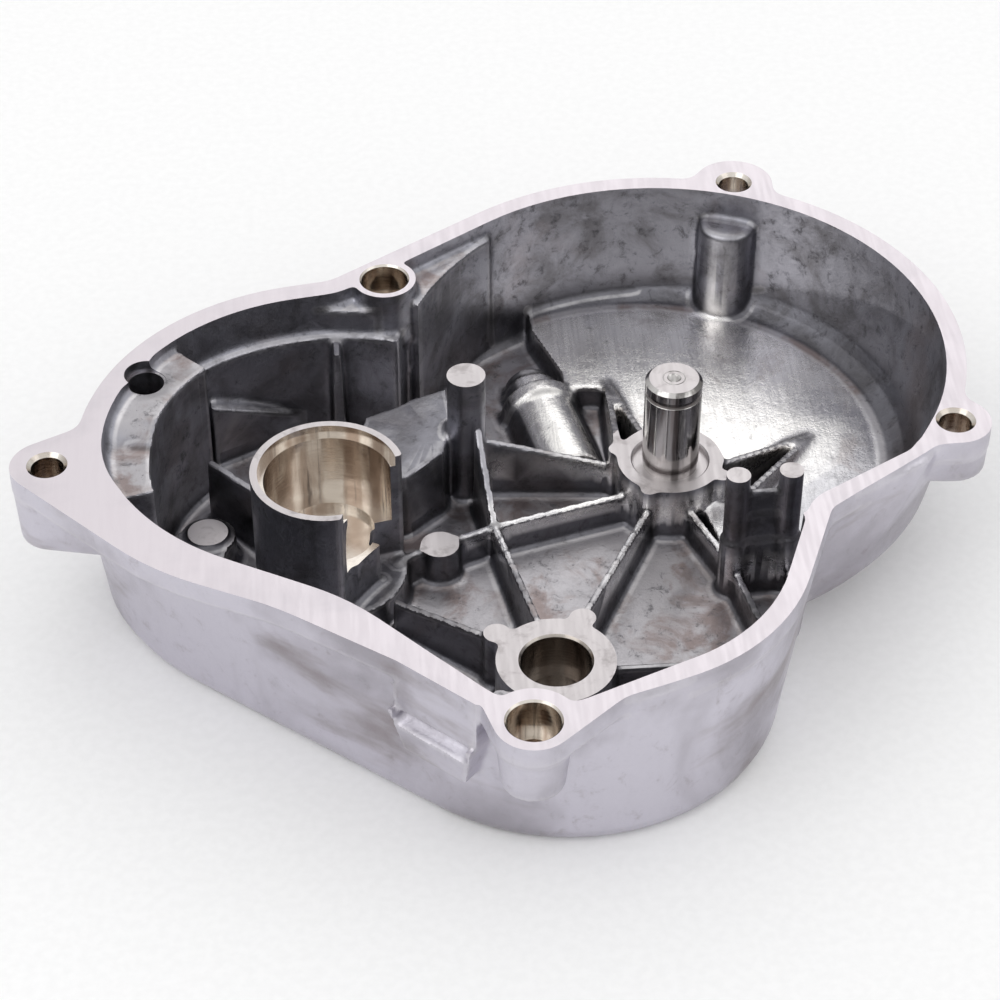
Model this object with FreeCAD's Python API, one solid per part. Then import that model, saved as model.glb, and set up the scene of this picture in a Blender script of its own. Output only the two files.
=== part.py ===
"""Die cast gear case half with a pressed idler pin.

Two pieces: "housing", one aluminium casting with its machined faces, and "shaft_pin", a
hardened steel pin pressed into it.  Millimetres.  The origin lies on the underside plane
below the pin's axis; +Z points up through the open side, +X along the line that joins the
left and the right fixing ear.
"""
import FreeCAD
import Part
import math
import os

V = FreeCAD.Vector
UP = V(0, 0, 1)

# ---------------------------------------------------------------- driving dimensions
# levels, all from the underside
RIM_Z = 39.0             # machined joint face, the housing's full height
FLOOR_Z = 3.5            # inner floor of the deep half
DISH_Z = 9.5             # inner floor of the round gear dish
DISH_UNDER_Z = 6.0       # underside of the dish
RIB_Z = 11.0             # crest of the long ribs
GEAR_CLEAR_Z = 10.5      # lowest point that the idler gear sweeps
BOSS_Z = 16.0            # thrust faces of the pin boss and the idler boss
SEAT_Z = 20.0            # shoulder that the ball bearing stands on
RING_Z = 36.5            # top of the bearing ring
SHELF_Z = 36.5           # bolt shelf in the left lobe
SHELF_PAD_Z = 34.0       # lower half of the bolt shelf
LEDGE_Z = 29.0           # casting step along the back wall

# casting
DRAFT_OUT = 2.5          # degrees
DRAFT_RIB = 1.5
FLANGE_H = 5.0           # height of the undrafted band below the joint face
FLANGE_STEP = 0.4        # the band stands out this far from the wall below it
BIG_RIM_W = 4.1          # width of the joint face round the gear dish
LEFT_RIM_W = 4.7
FRONT_RIM_W = 3.9
OUTER_EDGE_R = 3.5       # outer radius at the underside
DISH_R = 58.0            # the dish's wall where its edge radius ends
EDGE_STEPS = 4           # flats that make up a round of the dish's edge
DISH_WALL = 4.3          # the dish's wall above its underside edge
DISH_UNDER_R = 12.5      # the dish's softer underside edge
DISH_FLARE = 5.0         # the dish's wall leans out this far up to the joint face
FLOOR_EDGE_R = 3.0       # inner radius between floor and wall
DISH_EDGE_R = 8.0
RIB_T = 1.5              # rib thickness at its crest

# lobes of the outline: centre x, centre y, outer radius
BIG = (-0.7, 9.7, 62.8)
DISH = (-3.5, 12.0)      # centre of the dish floor, slightly off the big lobe's
LEFT = (-70.6, -14.5, 52.0)
LEFT_FOOT = (-70.6, -4.3, 60.0)
FRONT = (-22.4, -49.1, 43.0)

# fixing ears and dowels: centre x, centre y, outer radius
EAR_SPACING = 183.3      # between the two side ears' holes, along X
EAR_LINE = (55.0, -19.8)
EAR_LEFT = (EAR_LINE[0] - EAR_SPACING, EAR_LINE[1], 7.5)
EAR_RIGHT = (EAR_LINE[0], EAR_LINE[1], 7.3)
EAR_TOP = (22.3, 69.1, 8.7)
EAR_LEFT_H = 16.9        # thickness of the lug below the joint face
EAR_RIGHT_H = 10.7
EAR_TOP_H = 9.0
EAR_ROOT_R = 5.0         # a lug is this much wider where it runs into the wall
EAR_REACH = 12.0         # from an ear's hole to the middle of its root
EAR_LEFT_REACH = 16.0
SCREW_CHANNEL_R = 5.0    # hollow in the wall below the top ear, for the screw's head
EAR_BLEND_R = 4.0
BOLT_D = 6.6             # clearance hole for M6
BOLT_CHAMFER = 0.8
DOWEL_BACK = (-58.4, 38.0, 7.3)
DOWEL_FRONT = (-37.9, -98.8, 7.5)
DOWEL_FRONT_H = 15.0
DOWEL_FRONT_TAPER = 1.5  # the lug's foot is this much smaller
DOWEL_D = 10.0
DOWEL_DEPTH = 8.0
DOWEL_DRILL_D = 6.5      # drilled core below each dowel bore
DOWEL_DRILL_DEPTH = 5.0
DOWEL_LAND_R = 6.8       # inner edge of the joint face round the back dowel
DOWEL_FRONT_LAND_R = 8.3

# pin boss and pin
PIN_D = 12.0
PIN_TOP_Z = 37.8
PIN_FOOT_Z = 5.0
PIN_SHANK_D = 11.6       # pressed length and neck, below the ground length
PIN_GROUND_FROM_Z = BOSS_Z + 0.6
PIN_CHAMFER = 0.8
CLIP_GROOVE_W = 1.2
CLIP_GROOVE_DEPTH = 0.45
CLIP_GROOVE_DOWN = 2.6   # from the pin's top to the groove's upper flank
CENTRE_MARK_D = 3.0
BOSS_R = 11.2
BOSS_DRAFT = 1.0         # degrees
BOSS_RECESS_D = 16.2
BOSS_RECESS_DEPTH = 1.2
PIN_PADS = [(-10.9, 4.2), (-5.6, -9.6), (10.4, -6.2)]   # ejector pads on the boss's edge
PIN_PAD_R = 1.8

# idler boss, carries the idler gear's journal
IDLER = (-29.9, -59.6)
IDLER_R = 11.9
IDLER_BORE_D = 14.0
IDLER_BORE_DEPTH = 9.5
IDLER_CORE_D = 11.0
IDLER_CORE_DEPTH = 1.5
IDLER_CHAMFER = 0.45
IDLER_GEAR_R = 46.0      # radius swept by the idler gear
IDLER_PADS = [(-40.9, -51.0), (-23.5, -47.9)]
IDLER_PAD_R = 2.7

# ball bearing ring
RING = (-72.7, -22.7)
RING_R = 15.6
SEAT_D = 26.0
SEAT_RELIEF_D = 28.2
SEAT_RELIEF_DEPTH = 2.4
SEAT_CORE_D = 18.5
SEAT_CORE_DEPTH = 1.5
SLOT_END = 13.0          # degrees, end of the gear slot in the ring

# ejector posts: x, y, radius, top level
POST_BACK = (-42.8, 7.9, 4.1, 35.0)
POST_LOW = (-50.2, -18.2, 4.0, 11.2)
PAD_LEFT = (-98.3, -10.4, 4.0, 11.0)
PAD_LEFT_RIM_R = 5.85
POST_RIGHT = (9.6, -28.3, 2.5, 34.5)
POST_FAR = (20.5, -27.6, 2.5, 34.5)
POST_SLEEVE_R = 3.0
POST_SLEEVE_Z = 18.0
POST_WEBS = [(30.0, 1.2), (24.5, 2.2), (18.0, 3.4)]     # level and thickness of each step

# bolt shelf in the left lobe
SHELF_INNER_R = 37.8
SHELF_FROM = 134.0       # degrees round the left lobe
SHELF_TO = 194.0
SHELF_RAMP_LOW = [(-140.0, -21.0), (-111.9, -10.0), (-90.0, -12.5)]    # foot of the V-shaped ramp
SHELF_RAMP_HIGH = [(-140.0, -14.5), (-111.8, -3.2), (-90.0, -5.7)]     # and its crest
SHELF_HOLE = (-109.4, 8.4)
SHELF_HOLE_D = 7.5
SHELF_HOLE_DEPTH = 14.0
SHELF_LOW_Z = 27.0       # ledge below the shelf's scalloped end
SHELF_SCALLOP = (-106.0, -33.0, 9.0)
LEDGE_R = 45.5           # inner radius of the step along the back wall
LEDGE_FROM = 71.5        # degrees round the left lobe

# half-round boss on the dish's back wall
WALL_POST = (20.3, 63.0, 6.3, 32.4)
WALL_POST_BEVEL = 0.8

# stepped stub that lies on the deep floor beside the dish: start and end of its axis, then
# where each step begins and its radius
STUB_FROM = (-26.8, 43.0)
STUB_TO = (-19.8, 8.0)
STUB_AXIS_Z = 3.5
STUB_STEPS = [(0.0, 5.4), (3.2, 6.5), (8.6, 8.8), (12.6, 8.0)]

# raised floors beside the bearing ring: plan, top level
WEDGES = [
    ([(-64.0, 14.2), (-57.0, 17.4), (-53.5, 19.9), (-46.3, 22.7), (-45.5, 12.0), (-48.1, 1.2),
      (-56.4, -6.6), (-70.0, -8.0)], SEAT_Z),
    ([(-104.5, -9.0), (-98.3, -4.6), (-92.5, -9.5), (-95.4, -18.9), (-94.0, -30.0),
      (-112.0, -30.0)], 10.2),
]
# webs beside the ring: start, end, crest level at each end, thickness
WEBS = [
    ((-97.5, 3.4), (-86.0, -9.4), 19.0, 19.0, 1.6),
    ((-69.5, 26.0), (-69.5, 34.0), 28.0, 28.5, 1.6),
]

# sloping runner at the foot of the back wall: its front edge, high end first
RUNNER = ((-97.0, 19.7, 20.0), (-77.7, 30.2, 9.0))
RUNNER_DEPTH = 6.0
# fills beside the back dowel boss: a flat one and one with a hollow front
GUSSET_Z = 35.2
GUSSET_LEFT = [(-75.0, 33.0), (-60.2, 31.2), (-58.4, 38.0), (-66.0, 42.0)]
GUSSET_RIGHT = [(-33.8, 56.8), (-45.4, 43.6), (-51.5, 33.0)]        # front: end, middle, end

# lug on the outside of the front left wall
LUG_LINE = ((-62.6, -80.6), (-48.0, -94.0))
LUG_Z = 27.5
LUG_FOOT_Z = 17.0
LUG_OUT = 2.0
LUG_SCOOP_R = 3.6
LUG_END_WALL = 1.2


# ---------------------------------------------------------------- helpers
def slope(degrees):
    """Sideways change per millimetre of height for a draft angle."""
    return math.tan(math.radians(degrees))


def belt(discs, inset=0.0, z=0.0):
    """Closed wire drawn like a belt round discs, counter-clockwise.

    A disc is (x, y, r).  The belt passes outside a disc with r > 0; r < 0 makes a hollow
    round the disc.  All joints are tangent, so an inset keeps the same run of edges.
    """
    count = len(discs)
    normals = []
    for i in range(count):
        xa, ya, ra = discs[i]
        xb, yb, rb = discs[(i + 1) % count]
        gap = math.hypot(xb - xa, yb - ya)
        ratio = max(-1.0, min(1.0, (ra - rb) / gap))
        normals.append(math.atan2(yb - ya, xb - xa) - math.acos(ratio))

    def on(disc, angle):
        x, y, r = disc
        return V(x + (r - inset) * math.cos(angle), y + (r - inset) * math.sin(angle), z)

    first = on(discs[0], normals[-1])
    here = first
    edges = []
    for i in range(count):
        disc = discs[i]
        enter = normals[i - 1]
        leave = normals[i]
        turn = 2 * math.pi
        sweep = (leave - enter) % turn if disc[2] > 0 else -((enter - leave) % turn)
        middle = on(disc, enter + sweep / 2)
        arc_end = on(disc, leave)
        edges.append(Part.Arc(here, middle, arc_end).toShape())
        here = arc_end
        following = first if i == count - 1 else on(discs[i + 1], leave)
        if here.distanceToPoint(following) > 1e-3:
            edges.append(Part.makeLine(here, following))
            here = following
    if here.distanceToPoint(first) > 0:
        edges[-1] = Part.Arc(edges[-1].valueAt(edges[-1].FirstParameter), middle, first).toShape()
    return Part.Wire(edges)


def plate(discs, z0, z1):
    """Straight-sided solid inside a belt."""
    return Part.Face(belt(discs, 0.0, z0)).extrude(V(0, 0, z1 - z0))


def drafted(discs, z_wide, z_narrow, draft):
    """Solid inside a belt that tapers from z_wide to z_narrow."""
    wide = belt(discs, 0.0, z_wide)
    narrow = belt(discs, abs(z_wide - z_narrow) * slope(draft), z_narrow)
    return Part.makeLoft([narrow, wide], True, True)


def blend(lobe, ear, radius, side):
    """Hollow disc that touches a lobe and an ear; side +1 lies counter-clockwise of the ear."""
    dx = ear[0] - lobe[0]
    dy = ear[1] - lobe[1]
    gap = math.hypot(dx, dy)
    a = lobe[2] + radius
    b = ear[2] + radius
    turn = math.acos((a * a + gap * gap - b * b) / (2 * a * gap))
    angle = math.atan2(dy, dx) + side * turn
    return (lobe[0] + a * math.cos(angle), lobe[1] + a * math.sin(angle), -radius)


def post(x, y, r, z0, z1, draft=0.0):
    """Round post; r holds at its top."""
    if draft == 0:
        return Part.makeCylinder(r, z1 - z0, V(x, y, z0))
    foot_r = r + (z1 - z0) * slope(draft)
    return Part.makeCone(foot_r, r, z1 - z0, V(x, y, z0))


def drill(x, y, d, z0, z1):
    """Cylindrical cut."""
    return Part.makeCylinder(d / 2, z1 - z0, V(x, y, z0))


def bevel(x, y, d, z, size):
    """Countersink for a hole of diameter d whose mouth is at z."""
    return Part.makeCone(d / 2 - 0.01, d / 2 + size + 0.01, size + 0.02, V(x, y, z - size - 0.01))


def solid_of(bottom, top):
    """Solid with planar sides between two polygons of the same count."""
    faces = [Part.Face(Part.makePolygon(bottom + bottom[:1])),
             Part.Face(Part.makePolygon(top + top[:1]))]
    for i in range(len(bottom)):
        j = (i + 1) % len(bottom)
        faces.append(Part.Face(Part.makePolygon([bottom[i], bottom[j], top[j], top[i],
                                                 bottom[i]])))
    return Part.makeSolid(Part.makeShell(faces))


def rib(start, end, z_start, z_end, thick=RIB_T):
    """Drafted rib between two points of the plan; its crest runs from z_start to z_end."""
    foot = FLOOR_Z - 1.0
    dx = end[0] - start[0]
    dy = end[1] - start[1]
    length = math.hypot(dx, dy)
    nx = -dy / length
    ny = dx / length

    def corner(point, side, z_top, z):
        half = side * (thick / 2 + (z_top - z) * slope(DRAFT_RIB))
        return V(point[0] + nx * half, point[1] + ny * half, z)

    ends = [(start, -1, z_start), (end, -1, z_end), (end, 1, z_end), (start, 1, z_start)]
    bottom = [corner(p, side, z_top, foot) for p, side, z_top in ends]
    top = [corner(p, side, z_top, z_top) for p, side, z_top in ends]
    return solid_of(bottom, top)


def sector(cx, cy, r0, r1, a0, a1, z0, z1):
    """Ring sector between two radii and two angles in degrees."""
    ring = Part.makeCylinder(r1, z1 - z0, V(cx, cy, z0), UP, a1 - a0)
    ring.rotate(V(cx, cy, 0), UP, a0)
    return ring.cut(Part.makeCylinder(r0, z1 - z0 + 2, V(cx, cy, z0 - 1)))


def tub(foot, mouth, z, edge_r):
    """Tub from a foot outline in the level z up to a mouth wire, with a rounded lower edge."""
    sections = []
    for degrees in (0, 45, 90):
        turn = math.radians(degrees)
        inset = edge_r * (1 - math.sin(turn))
        sections.append(belt(foot, inset, z + edge_r * (1 - math.cos(turn))))
    return Part.makeLoft(sections + [mouth], True, True)


# ---------------------------------------------------------------- outlines
BACK_BLEND = (-73.6, 46.8, -9.0)        # hollow between the left lobe and the back dowel
EAR_LEFT_BLEND = (EAR_LEFT[0] + 1.5, -5.0, -5.0)
WAIST = (-115.8, -116.0, -60.0)         # long hollow of the front left wall
CORNER = (29.5, -48.1, -5.0)            # hollow between the front and the big lobe
EAR_RIGHT_BLEND = (51.4, -32.2, -5.0)
DOWEL_LEFT_BLEND = (-50.3, -93.6, -3.0)
DOWEL_RIGHT_BLEND = (-14.5, -104.4, -12.0)
RIGHT_END = (39.1, -21.7, 12.5)         # the big lobe's right end

RIM_OUTLINE = [
    EAR_RIGHT,
    blend(BIG, EAR_RIGHT, EAR_BLEND_R, 1),
    BIG,
    blend(BIG, EAR_TOP, EAR_BLEND_R, -1),
    EAR_TOP,
    blend(BIG, EAR_TOP, EAR_BLEND_R, 1),
    BIG,
    BACK_BLEND,
    LEFT,
    EAR_LEFT_BLEND,
    EAR_LEFT,
    LEFT_FOOT,
    WAIST,
    DOWEL_LEFT_BLEND,
    DOWEL_FRONT,
    DOWEL_RIGHT_BLEND,
    FRONT,
    CORNER,
    EAR_RIGHT_BLEND,
]

# the wall without its ears and lugs, just below the joint face and at the underside
BODY_TOP = [
    RIGHT_END,
    BIG,
    BACK_BLEND,
    LEFT,
    (-87.9, -13.3, 36.0),
    (-68.0, -4.0, 57.0),
    (-27.0, -55.5, 39.5),
    FRONT,
    CORNER,
]
BODY_FOOT = [
    (39.1, -21.7, 10.8),
    (-0.7, 9.7, 61.1),
    (-73.6, 46.8, -10.7),
    (-70.6, -14.5, 50.2),
    (-87.9, -13.3, 31.5),
    (-68.0, -4.0, 53.3),
    (-27.0, -50.5, 43.4),
    (-25.8, -52.3, 41.3),
    (29.5, -48.1, -9.5),
]


def inner(disc, width):
    """The same disc on the inner side of a wall."""
    return (disc[0], disc[1], disc[2] - width)


# the open inside at the joint face and at the deep floor, without what stands against its wall
CAVITY_TOP = [
    inner(RIGHT_END, BIG_RIM_W),
    inner(BIG, BIG_RIM_W),
    inner(BACK_BLEND, LEFT_RIM_W),
    inner(LEFT, LEFT_RIM_W),
    (-87.9, -13.3, 30.0),
    (-67.6, -6.2, 51.4),
    (-101.7, -103.3, -50.0),
    (-40.3, -86.2, 7.0),
    (-30.8, -87.8, 7.0),
    inner(FRONT, FRONT_RIM_W),
    inner(CORNER, BIG_RIM_W),
]
CAVITY_FOOT = [
    (39.1, -21.7, 7.5),
    (-0.7, 9.7, 57.8),
    (-73.6, 46.8, -14.6),
    (-70.6, -14.5, 46.4),
    (-87.9, -13.3, 27.7),
    (-67.6, -6.2, 48.2),
    (-101.7, -103.3, -51.5),
    (-38.5, -81.5, 7.0),
    (-30.0, -83.0, 7.0),
    (-25.8, -52.3, 37.8),
    (29.5, -48.1, -13.0),
]

# plan of the deep half: the step down from the dish, and the line of its underside
DEEP_STEP = [(23.0, -70.0), (18.3, -38.5), (21.5, -29.0), (9.6, -26.5), (6.0, -8.0),
             (-10.2, 10.0), (-10.0, 33.5), (-14.3, 34.3), (-18.9, 33.8), (-19.4, 40.6),
             (-24.5, 56.0), (-27.0, 80.0)]
UNDER_STEP = [(27.0, -70.0), (21.3, -38.5), (25.0, -27.5), (33.0, -6.0), (36.0, 15.0),
              (-3.0, 42.0), (-20.0, 60.0), (-22.0, 80.0)]
DEEP_FAR = [(-140.0, 80.0), (-140.0, -120.0), (32.0, -120.0)]
# two narrow valleys between rib pairs that run out into the dish
VALLEY_RIGHT = [(8.0, -3.0), (15.0, -14.0), (31.0, 12.0)]
VALLEY_BACK = [(-5.0, 8.0), (-9.6, 34.0), (-12.5, 6.0)]

# ribs: start, end, crest level at each end
RIB_CROSS = (-38.4, -12.9)
RIBS = [
    ((-40.8, 3.0), RIB_CROSS, 25.0, RIB_Z),             # buttress of the back post
    ((-38.5, 7.0), (-10.0, 4.5), 18.0, RIB_Z),
    (RIB_CROSS, (-9.0, -4.5), RIB_Z, RIB_Z),
    (RIB_CROSS, (-31.7, -50.0), RIB_Z, BOSS_Z - 1.0),
    (RIB_CROSS, (-53.6, -19.1), RIB_Z, RIB_Z),
    ((-53.6, -19.1), (-59.5, -22.5), RIB_Z, RIB_Z),
    ((-5.0, -9.0), (-23.4, -46.5), RIB_Z, BOSS_Z - 1.0),
    ((2.5, -9.0), (9.6, -28.3), 10.5, 10.5),
    ((9.6, -28.3), (12.6, -44.0), 10.5, 10.5),
    ((12.6, -44.0), (17.5, -58.0), 10.5, 10.5),
    ((-20.0, -57.3), (16.5, -57.6), RIB_Z, RIB_Z),      # idler boss to the right wall
    ((-60.5, -34.5), (-41.0, -51.5), RIB_Z, BOSS_Z - 1.0),
]
DISH_RIBS = [
    ((9.5, -2.5), (32.8, 13.6), BOSS_Z, DISH_Z),
    ((14.0, -13.0), (32.8, 13.6), BOSS_Z, DISH_Z),
    ((-10.6, 6.0), (-9.6, 36.1), BOSS_Z, DISH_Z),
    ((-4.6, 8.5), (-9.6, 36.1), BOSS_Z, DISH_Z),
]


# ---------------------------------------------------------------- housing
def prism(points, z0, z1):
    """Upright prism over a polygon."""
    corners = [V(x, y, z0) for x, y in points]
    return Part.Face(Part.makePolygon(corners + corners[:1])).extrude(V(0, 0, z1 - z0))


def revolved(centre, floor_z, edge_r, wall_r):
    """Round tub about a centre: flat bottom, edge rounded in steps, wall that flares upward."""
    top = RIM_Z + 2
    points = [V(0, 0, floor_z)]
    for i in range(EDGE_STEPS + 1):
        turn = math.radians(90 * i / EDGE_STEPS)
        points.append(V(wall_r - edge_r * (1 - math.sin(turn)), 0,
                        floor_z + edge_r * (1 - math.cos(turn))))
    points += [V(wall_r + DISH_FLARE, 0, top), V(0, 0, top), points[0]]
    bowl = Part.Face(Part.makePolygon(points)).revolve(V(0, 0, 0), UP, 360)
    bowl.translate(V(centre[0], centre[1], 0))
    return bowl


def build_envelope():
    """The casting's outside as one full block: drafted wall, flange band and lugs."""
    body = tub(BODY_FOOT, belt(BODY_TOP, FLANGE_STEP, RIM_Z - 1.0), 0.0, OUTER_EDGE_R)
    dish = revolved(DISH, DISH_UNDER_Z, DISH_UNDER_R, DISH_R + DISH_WALL)
    deep = prism(UNDER_STEP + DEEP_FAR, -1.0, RIM_Z + 2)
    body = body.common(dish.fuse(deep))
    body = body.fuse(plate(RIM_OUTLINE, RIM_Z - FLANGE_H, RIM_Z))
    for lug in build_lugs():
        body = body.fuse(lug)
    return body.fuse(build_outer_lug())


def build_lugs():
    """Ear and dowel lugs below the flange band."""
    lugs = []
    for ear, lobe, height, inward in ((EAR_LEFT, LEFT, EAR_LEFT_H, EAR_LEFT_REACH),
                                      (EAR_RIGHT, BIG, EAR_RIGHT_H, EAR_REACH),
                                      (EAR_TOP, BIG, EAR_TOP_H, EAR_REACH)):
        dx = lobe[0] - ear[0]
        dy = lobe[1] - ear[1]
        reach = math.hypot(dx, dy)
        root = (ear[0] + dx / reach * inward, ear[1] + dy / reach * inward, ear[2] + EAR_ROOT_R)
        lugs.append(drafted([ear, root], RIM_Z - 1.0, RIM_Z - height, DRAFT_OUT))
    x, y, r = DOWEL_FRONT
    lugs.append(Part.makeCone(r - DOWEL_FRONT_TAPER, r, DOWEL_FRONT_H - 1.0,
                              V(x, y, RIM_Z - DOWEL_FRONT_H)))
    return lugs


def build_cavity():
    """Everything that the core of the die leaves open: the dish and the deep half."""
    cavity = tub(CAVITY_FOOT, belt(CAVITY_TOP, 0.0, RIM_Z + 1.0), FLOOR_Z, FLOOR_EDGE_R)
    dish = revolved(DISH, DISH_Z, DISH_EDGE_R, DISH_R)
    deep = prism(DEEP_STEP + DEEP_FAR, FLOOR_Z - 2.0, RIM_Z + 2.0)
    for valley in (VALLEY_RIGHT, VALLEY_BACK):
        deep = deep.fuse(prism(valley, FLOOR_Z - 2.0, DISH_Z + 2.0))
    return cavity.common(dish.fuse(deep))


def build_bosses():
    """Pin boss and idler boss with their ejector pads, and the two dowel bosses."""
    foot = FLOOR_Z - 1.0
    solids = [post(0, 0, BOSS_R, foot, BOSS_Z, BOSS_DRAFT),
              post(IDLER[0], IDLER[1], IDLER_R, foot, BOSS_Z, BOSS_DRAFT)]
    for x, y in PIN_PADS:
        solids.append(post(x, y, PIN_PAD_R, foot, BOSS_Z))
    for x, y in IDLER_PADS:
        solids.append(post(x, y, IDLER_PAD_R, foot, BOSS_Z))
    for (x, y, _), land_r in ((DOWEL_BACK, DOWEL_LAND_R), (DOWEL_FRONT, DOWEL_FRONT_LAND_R)):
        depth = DOWEL_DEPTH + DOWEL_DRILL_DEPTH
        solids.append(Part.makeCone(land_r + 0.3, land_r, depth, V(x, y, RIM_Z - depth)))
        solids.append(Part.makeCone(0.5, land_r + 0.3, depth, V(x, y, RIM_Z - 2 * depth)))
    return solids


def build_ring():
    """Bearing ring, opened on one side for the idler gear."""
    x, y = RING
    ring = post(x, y, RING_R, FLOOR_Z - 1.0, RING_Z)
    ring = ring.cut(drill(IDLER[0], IDLER[1], 2 * IDLER_GEAR_R, GEAR_CLEAR_Z, RIM_Z))
    return ring.cut(sector(x, y, 8.0, 20.0, -25.0, SLOT_END, GEAR_CLEAR_Z, RIM_Z))


def build_posts():
    """Ejector posts and the low pads, with the web between the two thin posts."""
    foot = FLOOR_Z - 1.0
    solids = []
    for x, y, r, top in (POST_BACK, POST_LOW, PAD_LEFT, POST_RIGHT, POST_FAR):
        solids.append(post(x, y, r, foot, top))
    solids.append(post(PAD_LEFT[0], PAD_LEFT[1], PAD_LEFT_RIM_R, foot, PAD_LEFT[3] - 0.8))
    for x, y, r, top in (POST_RIGHT, POST_FAR):
        solids.append(post(x, y, POST_SLEEVE_R, foot, POST_SLEEVE_Z))
    for top, thick in POST_WEBS:
        solids.append(rib(POST_RIGHT[:2], POST_FAR[:2], top, top, thick))
    return solids


def build_ribs():
    """Ribs of the deep half and the pairs that run out into the dish."""
    return [rib(*line) for line in RIBS + DISH_RIBS]


def build_shelf():
    """Bolt shelf of the left lobe, its lower pad, and the ledge along the back wall."""
    x, y, r = LEFT
    foot = FLOOR_Z - 1.0
    shelf = sector(x, y, SHELF_INNER_R, r, SHELF_FROM, SHELF_TO, foot, SHELF_Z)
    low = [V(px, py, SHELF_PAD_Z) for px, py in SHELF_RAMP_LOW]
    high = [V(px, py, SHELF_Z) for px, py in SHELF_RAMP_HIGH]
    for corners in (low, high):
        for along in (low[-1].x, low[0].x):
            corners.append(V(along, y - r, corners[0].z))
    shelf = shelf.cut(Part.makeLoft([Part.makePolygon(low + low[:1]),
                                     Part.makePolygon(high + high[:1])], True, True))
    shelf = shelf.cut(drill(SHELF_SCALLOP[0], SHELF_SCALLOP[1], 2 * SHELF_SCALLOP[2],
                            SHELF_LOW_Z, SHELF_Z))
    ledge = sector(x, y, LEDGE_R, r, LEDGE_FROM, SHELF_FROM, foot, LEDGE_Z)
    return [shelf, ledge]


def build_wall_details():
    """The half-round boss, the stub, raised floors, runner, gussets and webs."""
    foot = FLOOR_Z - 1.0
    x, y, r, top = WALL_POST
    shoulder = top - WALL_POST_BEVEL
    solids = [post(x, y, r, foot, shoulder),
              Part.makeCone(r, r - WALL_POST_BEVEL, WALL_POST_BEVEL, V(x, y, shoulder))]

    start = V(STUB_FROM[0], STUB_FROM[1], STUB_AXIS_Z)
    axis = V(STUB_TO[0], STUB_TO[1], STUB_AXIS_Z) - start
    steps = STUB_STEPS + [(axis.Length, 0.0)]
    axis.normalize()
    for (begin, radius), (end, _) in zip(steps, steps[1:]):
        solids.append(Part.makeCylinder(radius, end - begin, start + axis * begin, axis))

    for points, top in WEDGES:
        solids.append(prism(points, foot, top))
    ends = [V(*point) for point in RUNNER]
    crest = ends + [V(p.x, p.y + RUNNER_DEPTH, p.z) for p in reversed(ends)]
    solids.append(solid_of([V(p.x, p.y, foot) for p in crest], crest))
    solids.append(prism(GUSSET_LEFT, LEDGE_Z - 1.0, GUSSET_Z))
    solids.append(hollow_gusset())
    for line in WEBS:
        solids.append(rib(*line))
    return solids


def hollow_gusset():
    """Fill between the back wall and the back dowel boss, with an arc for its front."""
    x, y, r = DOWEL_BACK
    first, middle, last = (V(px, py, FLOOR_Z - 1.0) for px, py in GUSSET_RIGHT)
    boss = V(x, y, FLOOR_Z - 1.0)
    behind = V(first.x - r, first.y + r / 2, FLOOR_Z - 1.0)
    outline = [Part.Arc(first, middle, last).toShape(), Part.makeLine(last, boss),
               Part.makeLine(boss, behind), Part.makeLine(behind, first)]
    return Part.Face(Part.Wire(outline)).extrude(V(0, 0, GUSSET_Z - FLOOR_Z + 1.0))


def build_outer_lug():
    """Lug on the front left wall with a scooped top."""
    (x0, y0), (x1, y1) = LUG_LINE
    length = math.hypot(x1 - x0, y1 - y0)
    nx = (y1 - y0) / length
    ny = -(x1 - x0) / length

    def row(inward, outward, trim, z):
        ux = (x1 - x0) / length * trim
        uy = (y1 - y0) / length * trim
        return [V(x0 + ux - nx * inward, y0 + uy - ny * inward, z),
                V(x0 + ux + nx * outward, y0 + uy + ny * outward, z),
                V(x1 - ux + nx * outward, y1 - uy + ny * outward, z),
                V(x1 - ux - nx * inward, y1 - uy - ny * inward, z)]

    lug = solid_of(row(5.0, 0.3, 2.5, LUG_FOOT_Z), row(5.0, LUG_OUT, 0.0, LUG_Z))
    back = solid_of(row(5.0, 0.0, 0.0, LUG_Z - 1.0), row(5.0, 0.0, 0.0, RIM_Z))
    scoop = Part.makeCylinder(LUG_SCOOP_R, length - 2 * LUG_END_WALL,
                              V(x0 + (x1 - x0) / length * LUG_END_WALL + nx * LUG_SCOOP_R * 0.3,
                                y0 + (y1 - y0) / length * LUG_END_WALL + ny * LUG_SCOOP_R * 0.3,
                                LUG_Z), V(x1 - x0, y1 - y0, 0))
    return lug.cut(scoop).fuse(back)


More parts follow.
